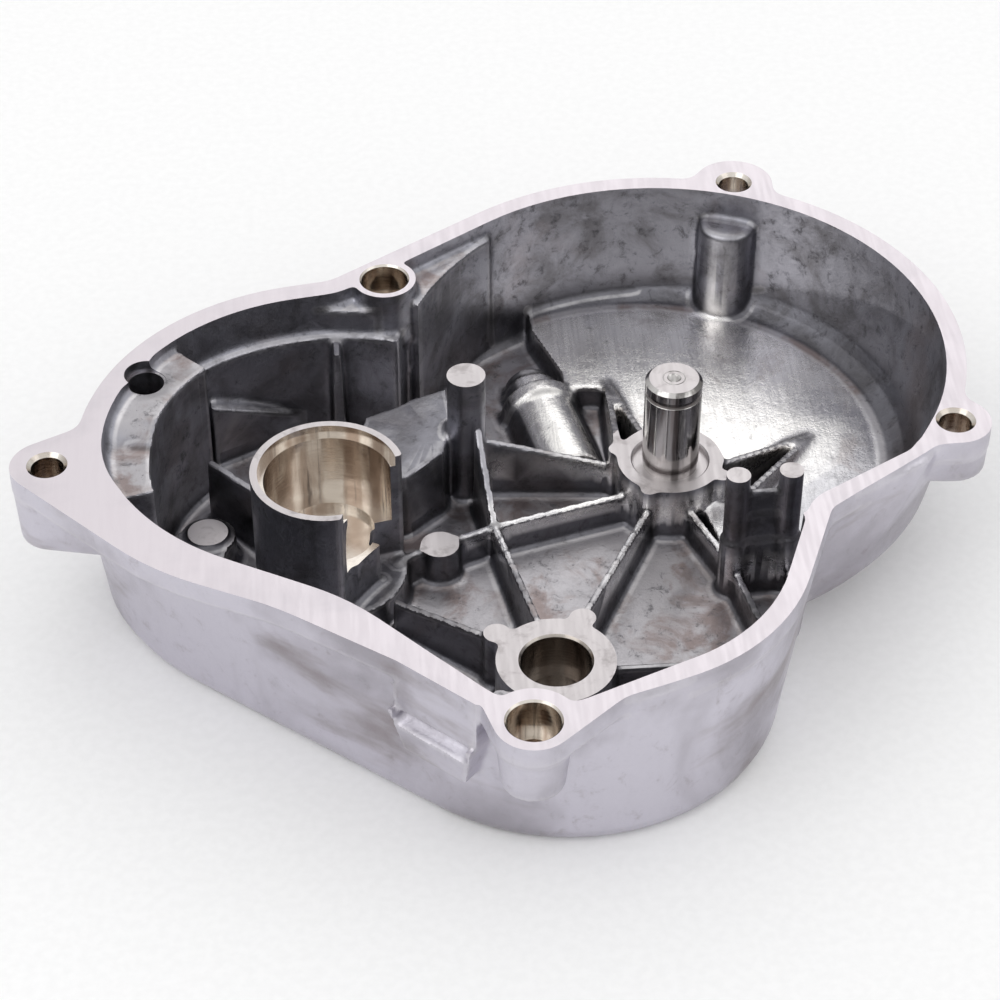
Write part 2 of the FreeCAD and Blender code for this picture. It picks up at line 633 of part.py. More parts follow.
def cut_holes(housing):
    """Drilled and bored holes, all along Z."""
    tools = []
    x, y, _ = EAR_TOP
    tools.append(drill(x, y, 2 * SCREW_CHANNEL_R, -1.0, RIM_Z - EAR_TOP_H))
    for x, y, _ in (EAR_LEFT, EAR_RIGHT, EAR_TOP):
        tools.append(drill(x, y, BOLT_D, 0.0, RIM_Z + 1))
        tools.append(bevel(x, y, BOLT_D, RIM_Z, BOLT_CHAMFER))
    for x, y, _ in (DOWEL_BACK, DOWEL_FRONT):
        bottom = RIM_Z - DOWEL_DEPTH
        tools.append(drill(x, y, DOWEL_D, bottom, RIM_Z + 1))
        tools.append(bevel(x, y, DOWEL_D, RIM_Z, BOLT_CHAMFER / 2))
        tools.append(drill(x, y, DOWEL_DRILL_D, bottom - DOWEL_DRILL_DEPTH, bottom + 1))
    tools.append(drill(SHELF_HOLE[0], SHELF_HOLE[1], SHELF_HOLE_D, SHELF_Z - SHELF_HOLE_DEPTH,
                       RIM_Z + 1))

    x, y = RING
    tools.append(drill(x, y, SEAT_RELIEF_D, RING_Z - SEAT_RELIEF_DEPTH, RING_Z + 1))
    tools.append(drill(x, y, SEAT_D, SEAT_Z, RING_Z))
    tools.append(drill(x, y, SEAT_CORE_D, SEAT_Z - SEAT_CORE_DEPTH, SEAT_Z + 1))

    x, y = IDLER
    bottom = BOSS_Z - IDLER_BORE_DEPTH
    tools.append(drill(x, y, IDLER_BORE_D, bottom, BOSS_Z + 1))
    tools.append(bevel(x, y, IDLER_BORE_D, BOSS_Z, IDLER_CHAMFER))
    tools.append(drill(x, y, IDLER_CORE_D, bottom - IDLER_CORE_DEPTH, bottom + 1))

    tools.append(drill(0, 0, BOSS_RECESS_D, BOSS_Z - BOSS_RECESS_DEPTH, BOSS_Z + 1))
    tools.append(drill(0, 0, PIN_SHANK_D, PIN_FOOT_Z, BOSS_Z))
    for tool in tools:
        housing = housing.cut(tool)
    return housing


def build_housing():
    """The whole casting."""
    envelope = build_envelope()
    inside = build_bosses()
    inside.append(build_ring())
    inside += build_posts()
    inside += build_ribs()
    inside += build_shelf()
    inside += build_wall_details()
    housing = envelope.cut(build_cavity())
    inside = inside[0].multiFuse(inside[1:]).common(envelope)
    return cut_holes(housing.fuse(inside))


# ---------------------------------------------------------------- pin
def build_pin():
    """Ground steel pin with a circlip groove, chamfers and a centre mark."""
    length = PIN_TOP_Z - PIN_FOOT_Z
    pin = Part.makeCylinder(PIN_D / 2, length, V(0, 0, PIN_FOOT_Z))
    top = [e for e in pin.Edges if e.BoundBox.ZLength < 1e-6 and e.BoundBox.ZMin > BOSS_Z]
    pin = pin.makeChamfer(PIN_CHAMFER, top)
    shank_h = PIN_GROUND_FROM_Z - PIN_FOOT_Z
    sleeve = Part.makeCylinder(PIN_D, shank_h, V(0, 0, PIN_FOOT_Z))
    pin = pin.cut(sleeve.cut(Part.makeCylinder(PIN_SHANK_D / 2, shank_h, V(0, 0, PIN_FOOT_Z))))
    groove_z = PIN_TOP_Z - CLIP_GROOVE_DOWN - CLIP_GROOVE_W
    groove = Part.makeCylinder(PIN_D, CLIP_GROOVE_W, V(0, 0, groove_z))
    groove = groove.cut(Part.makeCylinder(PIN_D / 2 - CLIP_GROOVE_DEPTH, CLIP_GROOVE_W,
                                          V(0, 0, groove_z)))
    mark = Part.makeCone(0, CENTRE_MARK_D / 2, CENTRE_MARK_D / 2,
                         V(0, 0, PIN_TOP_Z - CENTRE_MARK_D / 2))
    return pin.cut(groove).cut(mark)


def main():
    os.makedirs("parts", exist_ok=True)
    for name, shape in (("housing", build_housing()), ("shaft_pin", build_pin())):
        print(name, shape.isValid(), len(shape.Solids), shape.Volume / 1000, shape.BoundBox)
        shape.exportStep("parts/" + name + ".step")


main()
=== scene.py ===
"""Dressed model of a die cast gear case half with its pressed idler pin.

The casting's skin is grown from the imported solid: it is remeshed and softened so that every
corner gets the small radius of a real casting, and the milled faces and bored holes are then
cut into it crisply, as a machine shop would.  Lengths are millimetres in the classes below and
metres in the meshes.
"""
from __future__ import annotations

import logging
import math
from dataclasses import dataclass
from enum import Enum

import bmesh
import bpy
import numpy as np
from mathutils import Matrix, Vector
from mathutils.bvhtree import BVHTree
from mathutils.kdtree import KDTree


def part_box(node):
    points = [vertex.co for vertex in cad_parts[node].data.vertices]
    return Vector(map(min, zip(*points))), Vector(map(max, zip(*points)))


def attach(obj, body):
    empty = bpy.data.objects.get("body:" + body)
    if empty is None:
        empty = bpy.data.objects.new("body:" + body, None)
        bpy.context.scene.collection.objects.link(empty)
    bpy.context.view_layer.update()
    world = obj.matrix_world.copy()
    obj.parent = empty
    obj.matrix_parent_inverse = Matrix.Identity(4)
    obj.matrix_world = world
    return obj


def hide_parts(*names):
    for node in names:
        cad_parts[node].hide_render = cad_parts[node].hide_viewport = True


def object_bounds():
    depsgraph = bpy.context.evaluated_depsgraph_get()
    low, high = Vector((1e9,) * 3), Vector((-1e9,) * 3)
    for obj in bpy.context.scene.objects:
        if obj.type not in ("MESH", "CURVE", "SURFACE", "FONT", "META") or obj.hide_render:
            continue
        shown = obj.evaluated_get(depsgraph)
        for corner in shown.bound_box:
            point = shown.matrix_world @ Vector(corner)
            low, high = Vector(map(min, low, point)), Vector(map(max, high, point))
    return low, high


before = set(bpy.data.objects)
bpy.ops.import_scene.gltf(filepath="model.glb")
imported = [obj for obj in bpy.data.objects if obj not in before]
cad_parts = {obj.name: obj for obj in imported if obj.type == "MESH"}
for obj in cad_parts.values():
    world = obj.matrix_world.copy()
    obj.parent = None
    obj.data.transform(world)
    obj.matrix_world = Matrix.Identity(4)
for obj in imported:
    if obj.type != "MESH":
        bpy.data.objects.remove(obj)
CAD_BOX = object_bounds()

MM = 0.001
ON_LEVEL = 0.01                     # millimetres within which a corner lies on a level
ON_WALL = 0.03                      # and within which it lies on a bore's wall
UNDER_STEP = 0.1                    # how far below its step a bore's wall may start
LOG = logging.getLogger("gear_case")
Triple = tuple[float, float, float]


class Node(Enum):
    """CAD nodes of the object."""

    HOUSING = "housing"
    PIN = "shaft_pin"


class Slot(Enum):
    """Names for material slots; nothing in this script uses them."""

    ALUMINIUM = "cast_aluminium"
    STEEL = "ground_steel"


class Skin(Enum):
    """Material index of each kind of surface on the casting."""

    OUTER = 0
    INNER = 1
    MILLED = 2
    BORED = 3


# ---------------------------------------------------------------- node graphs
@dataclass(frozen=True)
class Ramp:
    """A smooth step from start, at low, to end, at high; it stays level beyond them."""

    low: float
    high: float
    start: float = 0.0
    end: float = 1.0


@dataclass(frozen=True)
class Mottle:
    """Cloud noise whose largest lumps are about size millimetres wide."""

    size: float
    detail: float = 3.0             # number of finer octaves
    rough: float = 0.55             # weight of each finer octave
    warp: float = 0.0               # distortion of the lumps
    squeeze: Triple = (1.0, 1.0, 1.0)    # below 1 the lumps are drawn out along that axis


class Graph:
    """Small helper round a material's node tree."""

    def __init__(self, name: str) -> None:
        """Start an empty material with a Principled shader.

        Args:
            name: Name of the material.
        """
        self.material = bpy.data.materials.new(name)
        self.material.use_nodes = True
        self.tree = self.material.node_tree
        self.shader = self.tree.nodes["Principled BSDF"]
        self.coordinates = self.node("ShaderNodeTexCoord")
        self.noises: dict[Mottle, bpy.types.NodeSocket] = {}

    def node(self, kind: str, **settings: object) -> bpy.types.Node:
        """Add a node.

        Args:
            kind: Blender's type name of the node.
            settings: Attributes set on the node.

        Returns:
            The new node.
        """
        made = self.tree.nodes.new(kind)
        for key, value in settings.items():
            setattr(made, key, value)
        return made

    def feed(self, socket: bpy.types.NodeSocket, value: object) -> None:
        """Link an output to a socket, or set the socket's own value.

        Args:
            socket: The input.
            value: An output socket or a plain value.
        """
        if isinstance(value, bpy.types.NodeSocket):
            self.tree.links.new(value, socket)
        else:
            socket.default_value = value

    def place(self) -> bpy.types.NodeSocket:
        """Return the point on the object in its own frame, in metres."""
        return self.coordinates.outputs["Object"]

    def height_of(self, vector: bpy.types.NodeSocket) -> bpy.types.NodeSocket:
        """Return the upward part of a vector.

        Args:
            vector: A point or a direction.

        Returns:
            Its z.
        """
        parts = self.node("ShaderNodeSeparateXYZ")
        self.feed(parts.inputs[0], vector)
        return parts.outputs["Z"]

    def by_level(self, ramp: Ramp) -> bpy.types.NodeSocket:
        """Return a ramp over the height on the object, in metres."""
        return self.ramp(self.height_of(self.place()), ramp)

    def upward(self, ramp: Ramp) -> bpy.types.NodeSocket:
        """Return a ramp over how far faces look up, 1 for level ones."""
        return self.ramp(self.height_of(self.coordinates.outputs["Normal"]), ramp)

    def attribute(self, name: str) -> bpy.types.NodeSocket:
        """Return a number stored on the mesh."""
        return self.node("ShaderNodeAttribute", attribute_name=name).outputs["Fac"]

    def noise(self, mottle: Mottle) -> bpy.types.NodeSocket:
        """Return a mottle's noise; each mottle is made once.

        Args:
            mottle: Size and character of the lumps.

        Returns:
            The noise from 0 to 1.
        """
        if mottle not in self.noises:
            where = self.node("ShaderNodeMapping")
            self.feed(where.inputs["Vector"], self.place())
            self.feed(where.inputs["Scale"], mottle.squeeze)
            made = self.node("ShaderNodeTexNoise")
            self.feed(made.inputs["Vector"], where.outputs["Vector"])
            self.feed(made.inputs["Scale"], 1.0 / (mottle.size * MM))
            self.feed(made.inputs["Detail"], mottle.detail)
            self.feed(made.inputs["Roughness"], mottle.rough)
            self.feed(made.inputs["Distortion"], mottle.warp)
            self.noises[mottle] = made.outputs["Fac"]
        return self.noises[mottle]

    def ramp(self, value: object, ramp: Ramp) -> bpy.types.NodeSocket:
        """Map a value through a ramp.

        Args:
            value: Input socket.
            ramp: Its two ends.

        Returns:
            The mapped value.
        """
        made = self.node("ShaderNodeMapRange", interpolation_type="SMOOTHSTEP")
        self.feed(made.inputs["Value"], value)
        self.feed(made.inputs["From Min"], ramp.low)
        self.feed(made.inputs["From Max"], ramp.high)
        self.feed(made.inputs["To Min"], ramp.start)
        self.feed(made.inputs["To Max"], ramp.end)
        return made.outputs["Result"]

    def math(self, operation: str, a: object, b: object) -> bpy.types.NodeSocket:
        """Combine two values with a Math node.

        Args:
            operation: Blender's name of the operation.
            a: First value or socket.
            b: Second value or socket.

        Returns:
            The result.
        """
        made = self.node("ShaderNodeMath", operation=operation)
        self.feed(made.inputs[0], a)
        self.feed(made.inputs[1], b)
        return made.outputs[0]

    def times(self, a: object, b: object) -> bpy.types.NodeSocket:
        """Return the product of two values."""
        return self.math("MULTIPLY", a, b)

    def mix(self, amount: object, a: object, b: object) -> bpy.types.NodeSocket:
        """Blend two colours.

        Args:
            amount: 0 gives a, 1 gives b.
            a: First colour or socket.
            b: Second colour or socket.

        Returns:
            The blended colour.
        """
        made = self.node("ShaderNodeMix", data_type="RGBA")
        self.feed(made.inputs["Factor"], amount)
        self.feed(made.inputs["A"], opaque(a) if isinstance(a, tuple) else a)
        self.feed(made.inputs["B"], opaque(b) if isinstance(b, tuple) else b)
        return made.outputs["Result"]

    def coat(self, below: object, mottle: Mottle, ramp: Ramp, tint: Triple) -> bpy.types.NodeSocket:
        """Lay a colour over what is below it, where a mottle rises.

        Args:
            below: Colour or socket under the coat.
            mottle: Noise that spreads the coat.
            ramp: Cover of the coat over the noise.
            tint: Colour of the coat.

        Returns:
            The coated colour.
        """
        return self.mix(self.ramp(self.noise(mottle), ramp), below, tint)

    def bump(self, height: object, depth: float, strength: float) -> None:
        """Drive the shader's normal from a height field.

        Args:
            height: Height from 0 to 1.
            depth: Millimetres that the whole range stands for.
            strength: Strength of the effect.
        """
        made = self.node("ShaderNodeBump")
        self.feed(made.inputs["Height"], height)
        self.feed(made.inputs["Distance"], depth * MM)
        self.feed(made.inputs["Strength"], strength)
        self.feed(self.shader.inputs["Normal"], made.outputs["Normal"])

    def metal(self, base: object, roughness: object) -> bpy.types.Material:
        """Close the graph as bare metal.

        Args:
            base: Colour socket.
            roughness: Roughness socket.

        Returns:
            The finished material.
        """
        self.feed(self.shader.inputs["Base Color"], base)
        self.feed(self.shader.inputs["Metallic"], 1.0)
        self.feed(self.shader.inputs["Roughness"], roughness)
        return self.material


def opaque(rgb: Triple) -> tuple[float, float, float, float]:
    """Return a linear colour with full alpha."""
    return (rgb[0], rgb[1], rgb[2], 1.0)


# ---------------------------------------------------------------- finishes
@dataclass(frozen=True)
class Pitting:
    """Uneven gloss and fine relief of a cast surface."""

    spots: Mottle
    grain: Mottle
    gloss: Ramp                     # roughness over the grain
    spot_gloss: Ramp                # roughness that the spots add
    strength: float
    depth: float = 0.30
    spot_share: float = 0.7         # part of the relief that the spots make

    def roughness(self, g: Graph) -> bpy.types.NodeSocket:
        """Return the roughness of the surface."""
        grain = g.ramp(g.noise(self.grain), self.gloss)
        return g.math("ADD", grain, g.ramp(g.noise(self.spots), self.spot_gloss))

    def roughen(self, g: Graph) -> None:
        """Give a shader the relief.

        Args:
            g: The graph.
        """
        spots = g.times(g.noise(self.spots), self.spot_share)
        grain = g.times(g.noise(self.grain), 1.0 - self.spot_share)
        g.bump(g.math("ADD", spots, grain), self.depth, self.strength)


@dataclass(frozen=True)
class OuterFinish:
    """As-cast outside: satin grey with soft clouds, bright on worn edges."""

    base: Triple = (0.62, 0.60, 0.665)
    shade: Triple = (0.40, 0.38, 0.42)
    brown: Triple = (0.24, 0.20, 0.19)
    edge: Triple = (0.74, 0.72, 0.735)
    clouds: Mottle = Mottle(38.0, 4.0, 0.55, 0.5)
    bands: Mottle = Mottle(14.0, 4.0, 0.6, 0.3, (0.35, 0.35, 1.0))
    spots: Mottle = Mottle(4.0, 5.0, 0.7, 0.4)
    grain: Mottle = Mottle(0.7, 3.0, 0.6)
    cloudy: Ramp = Ramp(0.40, 0.66)
    banded: Ramp = Ramp(0.52, 0.72, 0.0, 0.55)
    spotted: Ramp = Ramp(0.55, 0.80, 0.0, 0.35)
    worn: Ramp = Ramp(0.3, 0.9, 0.0, 0.18)
    gloss: Ramp = Ramp(0.2, 0.8, 0.36, 0.46)
    spot_gloss: Ramp = Ramp(0.4, 0.7, 0.0, 0.08)
    relief: float = 0.4

    def build(self) -> bpy.types.Material:
        """Build the material of the outer skin.

        Returns:
            The material.
        """
        g = Graph("cast_aluminium_outside")
        base = g.coat(self.base, self.clouds, self.cloudy, self.shade)
        base = g.coat(base, self.bands, self.banded, self.brown)
        base = g.coat(base, self.spots, self.spotted, self.brown)
        base = g.mix(g.ramp(g.attribute("wear"), self.worn), base, self.edge)
        pitting = Pitting(self.spots, self.grain, self.gloss, self.spot_gloss, self.relief)
        pitting.roughen(g)
        return g.metal(base, pitting.roughness(g))


@dataclass(frozen=True)
class InnerFinish:
    """As-cast inside: mottled and stained, burnished crests, a brushed dish floor, with painted
    light: floors lighter where they look up, painted shade low on the walls and in hollow corners,
    and painted highlights beside the corners, on the dish's floor and on the ring round it.
    """

    wall: Triple = (0.36, 0.36, 0.405)
    # pocket floors, lighter than the walls: painted light on faces that look up, under real stains
    ground: Triple = (0.45, 0.435, 0.455)
    dull: Triple = (0.15, 0.145, 0.155)
    # soot in dark spots, and the same colour as painted shade low on the walls and in hollow
    # corners
    soot_and_shade: Triple = (0.05, 0.047, 0.05)
    stain: Triple = (0.27, 0.215, 0.205)
    # pale middle of the painted highlight on the dish's floor; away from there it fades to the
    # wall's colour
    floor: Triple = (0.95, 0.93, 0.905)
    # pale colour of worn crests, and also of the painted highlight lines beside hollow corners and
    # on the ring round the dish
    edge: Triple = (0.86, 0.84, 0.85)
    bright: Triple = (-0.002, 0.028, 0.0095)     # middle of the painted highlight on the dish's floor, in metres
    clouds: Mottle = Mottle(30.0, 4.0, 0.6, 0.6)
    patches: Mottle = Mottle(12.0, 5.0, 0.62, 0.5)
    spots: Mottle = Mottle(3.2, 5.0, 0.72, 0.4)
    specks: Mottle = Mottle(1.5, 4.0, 0.75, 0.3)
    grain: Mottle = Mottle(0.6, 3.0, 0.6)
    brushed: Mottle = Mottle(0.7, 3.0, 0.65, 0.0, (1.0, 0.04, 1.0))
    wall_patches: Ramp = Ramp(0.40, 0.68, 0.0, 0.8)
    wall_clouds: Ramp = Ramp(0.52, 0.72, 0.0, 0.4)
    wall_spots: Ramp = Ramp(0.52, 0.72, 0.0, 0.6)
    low_wall_shade: Ramp = Ramp(0.019, 0.010, 0.0, 0.62)         # painted shade: the walls darken towards the bottom
    ground_patches: Ramp = Ramp(0.46, 0.64, 0.0, 0.85)
    ground_spots: Ramp = Ramp(0.56, 0.70, 0.0, 0.8)
    ground_clouds: Ramp = Ramp(0.52, 0.70, 0.0, 0.55)
    ground_specks: Ramp = Ramp(0.62, 0.74, 0.0, 0.7)
    level_faces: Ramp = Ramp(0.88, 0.99)
    off_dish: Ramp = Ramp(-0.8, -0.2)
    above_ground: Ramp = Ramp(0.0170, 0.0185)
    below_shelf: Ramp = Ramp(0.0340, 0.0310)
    panel_faces: Ramp = Ramp(0.6, 0.9)
    panel_dull: float = 0.5
    # painted highlight: how its edge wanders, and how it fades away from its middle
    highlight_wander: Ramp = Ramp(0.3, 0.7, -0.010, 0.014)
    highlight_fades: Ramp = Ramp(0.030, 0.056, 0.0, 0.70)
    dish_brushed: Ramp = Ramp(0.40, 0.68, 0.0, 0.20)
    dish_patches: Ramp = Ramp(0.56, 0.70, 0.0, 0.35)
    dish_spots: Ramp = Ramp(0.59, 0.76, 0.0, 0.7)
    # painted shade in the hollow corners, over their nearness
    corner_shade: Ramp = Ramp(0.62, 0.95, 0.0, 0.6)
    highlight_line_starts: Ramp = Ramp(0.18, 0.36)         # painted highlight line beside a corner, over its nearness
    highlight_line_ends: Ramp = Ramp(0.64, 0.46)
    highlight_line_patches: Ramp = Ramp(0.35, 0.62, 0.45, 0.10)
    highlight_line_faces: Ramp = Ramp(0.55, 0.90)
    lip_highlight_rises: Ramp = Ramp(0.05, 0.5)            # painted highlight on the ring where the dish's floor ends
    lip_highlight_falls: Ramp = Ramp(0.95, 0.5)
    lip_highlight_share: float = 0.6
    crest: Ramp = Ramp(0.10, 0.60, 0.0, 0.24)
    crest_patches: Ramp = Ramp(0.35, 0.60, 1.0, 0.5)
    gloss: Ramp = Ramp(0.2, 0.8, 0.30, 0.40)
    spot_gloss: Ramp = Ramp(0.4, 0.7, 0.0, 0.14)
    dish_gloss: Ramp = Ramp(0.0, 1.0, 0.0, 0.15)
    relief: float = 0.45

    def build(self) -> bpy.types.Material:
        """Build the material of the inner skin.

        Returns:
            The material.
        """
        g = Graph("cast_aluminium_inside")
        dish = g.attribute("dish")
        base = g.mix(dish, self.walls_and_ground(g, dish), self.dish_floor_and_highlight(g))
        base = self.corners(g, base)
        base = self.crests(g, base, dish)
        pitting = Pitting(self.spots, self.grain, self.gloss, self.spot_gloss, self.relief)
        pitting.roughen(g)
        roughness = g.math("SUBTRACT", pitting.roughness(g), g.ramp(dish, self.dish_gloss))
        return g.metal(base, roughness)

    def walls_and_ground(self, g: Graph, dish: bpy.types.NodeSocket) -> bpy.types.NodeSocket:
        """Colour the walls, with painted shade low down, the pocket floors, lighter where they look
        up as painted light, and the raised panels.

        Args:
            g: The graph.
            dish: The dish attribute.

        Returns:
            The colour.
        """
        walls = g.coat(self.wall, self.patches, self.wall_patches, self.dull)
        walls = g.coat(walls, self.clouds, self.wall_clouds, self.stain)
        walls = g.coat(walls, self.spots, self.wall_spots, self.soot_and_shade)
        # painted shade, darker towards the bottom of the walls
        walls = g.mix(g.by_level(self.low_wall_shade), walls, self.soot_and_shade)
        ground = g.coat(self.ground, self.patches, self.ground_patches, self.stain)
        ground = g.coat(ground, self.spots, self.ground_spots, self.dull)
        ground = g.coat(ground, self.clouds, self.ground_clouds, self.dull)
        ground = g.coat(ground, self.specks, self.ground_specks, self.soot_and_shade)
        panel = g.times(g.by_level(self.above_ground), g.by_level(self.below_shelf))
        # painted light: faces that look up, off the dish and the panels, take the lighter floor
        # colour
        flat = g.times(g.upward(self.level_faces), g.ramp(dish, self.off_dish))
        flat = g.times(flat, g.math("SUBTRACT", 1.0, panel))
        inner = g.mix(flat, walls, ground)
        panel = g.times(g.times(panel, g.upward(self.panel_faces)), self.panel_dull)
        return g.mix(panel, inner, self.dull)

    def dish_floor_and_highlight(self, g: Graph) -> bpy.types.NodeSocket:
        """Colour the brushed floor, with a painted highlight in its middle.

        Args:
            g: The graph.

        Returns:
            The colour.
        """
        # painted highlight: the floor is palest round one point and fades to the wall's colour
        highlight_gap = g.node("ShaderNodeVectorMath", operation="DISTANCE")
        g.feed(highlight_gap.inputs[0], g.place())
        g.feed(highlight_gap.inputs[1], self.bright)
        away = g.math("ADD", highlight_gap.outputs["Value"],
                      g.ramp(g.noise(self.clouds), self.highlight_wander))
        floor = g.mix(g.ramp(away, self.highlight_fades), self.floor, self.wall)
        floor = g.coat(floor, self.brushed, self.dish_brushed, self.dull)
        floor = g.coat(floor, self.patches, self.dish_patches, self.stain)
        return g.coat(floor, self.spots, self.dish_spots, self.dull)

    def corners(self, g: Graph, base: bpy.types.NodeSocket) -> bpy.types.NodeSocket:
        """Paint shade into the hollow corners, with a painted highlight line beside them on faces
        that look up.

        Args:
            g: The graph.
            base: Colour so far.

        Returns:
            The colour.
        """
        foot = g.attribute("foot")
        # painted shade in the hollow corners
        base = g.mix(g.ramp(foot, self.corner_shade), base, self.soot_and_shade)
        # painted highlight line beside each hollow corner, on faces that look up
        line = g.times(g.ramp(foot, self.highlight_line_starts), g.ramp(foot, self.highlight_line_ends))
        line = g.times(line, g.ramp(g.noise(self.patches), self.highlight_line_patches))
        line = g.times(line, g.upward(self.highlight_line_faces))
        return g.mix(line, base, self.edge)

    def crests(self, g: Graph, base: bpy.types.NodeSocket,
               dish: bpy.types.NodeSocket) -> bpy.types.NodeSocket:
        """Burnish the proud edges, and paint a highlight on the ring round the dish's floor.

        Args:
            g: The graph.
            base: Colour so far.
            dish: The dish attribute.

        Returns:
            The colour.
        """
        # painted highlight on the ring round the dish's floor, joined to the crests' wear
        lip_highlight = g.times(g.ramp(dish, self.lip_highlight_rises), g.ramp(dish, self.lip_highlight_falls))
        crest = g.ramp(g.attribute("wear"), self.crest)
        crest = g.math("MAXIMUM", crest, g.times(lip_highlight, self.lip_highlight_share))
        crest = g.times(crest, g.ramp(g.noise(self.patches), self.crest_patches))
        return g.mix(crest, base, self.edge)


@dataclass(frozen=True)
class MilledFinish:
    """Joint face and thrust faces: pale, fine cutter marks in one direction."""

    face: Triple = (0.73, 0.68, 0.715)
    shade: Triple = (0.60, 0.565, 0.60)
    low_face: Triple = (0.60, 0.565, 0.57)
    low_shade: Triple = (0.36, 0.33, 0.33)
    marks: Mottle = Mottle(0.9, 2.0, 0.5, 0.0, (1.0, 0.08, 1.0))
    clouds: Mottle = Mottle(14.0, 4.0, 0.6, 0.3)
    worn: Mottle = Mottle(4.5, 4.0, 0.65, 0.4)
    nicks: Mottle = Mottle(1.6, 4.0, 0.75, 0.6)
    joint: Ramp = Ramp(0.038, 0.0385)       # what lies below was milled in another pass
    cloudy: Ramp = Ramp(0.45, 0.75, 0.0, 0.45)
    rubbed: Ramp = Ramp(0.50, 0.72, 0.0, 0.7)
    nicked: Ramp = Ramp(0.66, 0.78, 0.0, 0.6)
    gloss: Ramp = Ramp(0.3, 0.7, 0.36, 0.48)
    depth: float = 0.03
    relief: float = 0.4

    def build(self) -> bpy.types.Material:
        """Build the material of the milled faces.

        Returns:
            The material.
        """
        g = Graph("milled_aluminium")
        high = g.coat(self.face, self.clouds, self.cloudy, self.shade)
        low = g.coat(self.low_face, self.worn, self.rubbed, self.low_shade)
        base = g.mix(g.by_level(self.joint), low, high)
        base = g.coat(base, self.nicks, self.nicked, self.shade)
        g.bump(g.noise(self.marks), self.depth, self.relief)
        return g.metal(base, g.ramp(g.noise(self.marks), self.gloss))


@dataclass(frozen=True)
class BoredFinish:
    """Bored and reamed walls: smooth, warm and dark in turns as painted reflections, painted shade
    low down, fine turning rings.
    """

    wall: Triple = (0.70, 0.655, 0.60)
    # warm tone of the painted reflections, in patches drawn out up the walls
    warm: Triple = (0.34, 0.265, 0.215)
    # dark tone of the painted reflections and of the painted shade low down
    dark: Triple = (0.12, 0.10, 0.09)
    rings: Mottle = Mottle(0.35, 2.0, 0.5, 0.0, (0.05, 0.05, 1.0))
    warm_reflection_patches: Mottle = Mottle(5.0, 3.0, 0.5, 0.3, (1.0, 1.0, 0.2))
    dark_reflection_streaks: Mottle = Mottle(1.8, 3.0, 0.6, 0.2, (1.0, 1.0, 0.06))
    level_faces: Ramp = Ramp(0.4, 0.8)
    warm_reflection_cover: Ramp = Ramp(0.40, 0.60, 0.0, 0.85)
    warm_reflection_walls: Ramp = Ramp(0.0, 1.0, 0.35, 1.0)      # level faces take less of it
    dark_reflection_cover: Ramp = Ramp(0.56, 0.70, 0.0, 0.8)
    # painted shade, darker towards the bottom of the low bores
    deep_shade: Ramp = Ramp(0.0170, 0.0150, 0.0, 0.72)
    gloss: Ramp = Ramp(0.3, 0.7, 0.14, 0.24)
    depth: float = 0.01
    relief: float = 0.5

    def build(self) -> bpy.types.Material:
        """Build the material of the bored walls.

        Returns:
            The material.
        """
        g = Graph("bored_aluminium")
        upright = g.math("SUBTRACT", 1.0, g.upward(self.level_faces))
        warm_reflection_patches = g.times(g.ramp(g.noise(self.warm_reflection_patches), self.warm_reflection_cover),
                         g.ramp(upright, self.warm_reflection_walls))
        # painted reflections: warm patches, then dark bands, on upright walls
        base = g.mix(warm_reflection_patches, self.wall, self.warm)
        dark_reflection_streaks = g.times(g.ramp(g.noise(self.dark_reflection_streaks), self.dark_reflection_cover), upright)
        base = g.mix(dark_reflection_streaks, base, self.dark)
        # painted shade low down in the bores
        base = g.mix(g.by_level(self.deep_shade), base, self.dark)
        g.bump(g.noise(self.rings), self.depth, self.relief)
        return g.metal(base, g.ramp(g.noise(self.rings), self.gloss))


@dataclass(frozen=True)
class SteelFinish:
    """Ground and polished pin steel, with painted dark reflections up its sides and painted shade
    in its circlip groove.
    """

    steel: Triple = (0.56, 0.545, 0.535)
    # dark tone of the painted reflections and of the groove's painted shade
    dark: Triple = (0.15, 0.14, 0.135)
    rings: Mottle = Mottle(0.3, 2.0, 0.5, 0.0, (0.05, 0.05, 1.0))
    # painted reflections: dark bands drawn out up the pin
    reflection_streaks: Mottle = Mottle(3.5, 3.0, 0.6, 0.1, (1.0, 1.0, 0.04))
    reflection_streaked: Ramp = Ramp(0.44, 0.60, 0.0, 0.85)
    # painted shade in the circlip groove, between these levels
    groove_foot: Ramp = Ramp(0.0339, 0.0340)
    groove_top: Ramp = Ramp(0.0353, 0.0352)
    groove_shade: float = 0.9
    gloss: Ramp = Ramp(0.3, 0.7, 0.09, 0.16)
    depth: float = 0.006
    relief: float = 0.4

    def build(self) -> bpy.types.Material:
        """Build the material of the pin.

        Returns:
            The material.
        """
        g = Graph("ground_pin_steel")
        # painted reflections as dark bands up the pin
        base = g.coat(self.steel, self.reflection_streaks, self.reflection_streaked, self.dark)
        # painted shade in the circlip groove
        groove = g.times(g.by_level(self.groove_foot), g.by_level(self.groove_top))
        base = g.mix(g.times(groove, self.groove_shade), base, self.dark)
        g.bump(g.noise(self.rings), self.depth, self.relief)
        return g.metal(base, g.ramp(g.noise(self.rings), self.gloss))


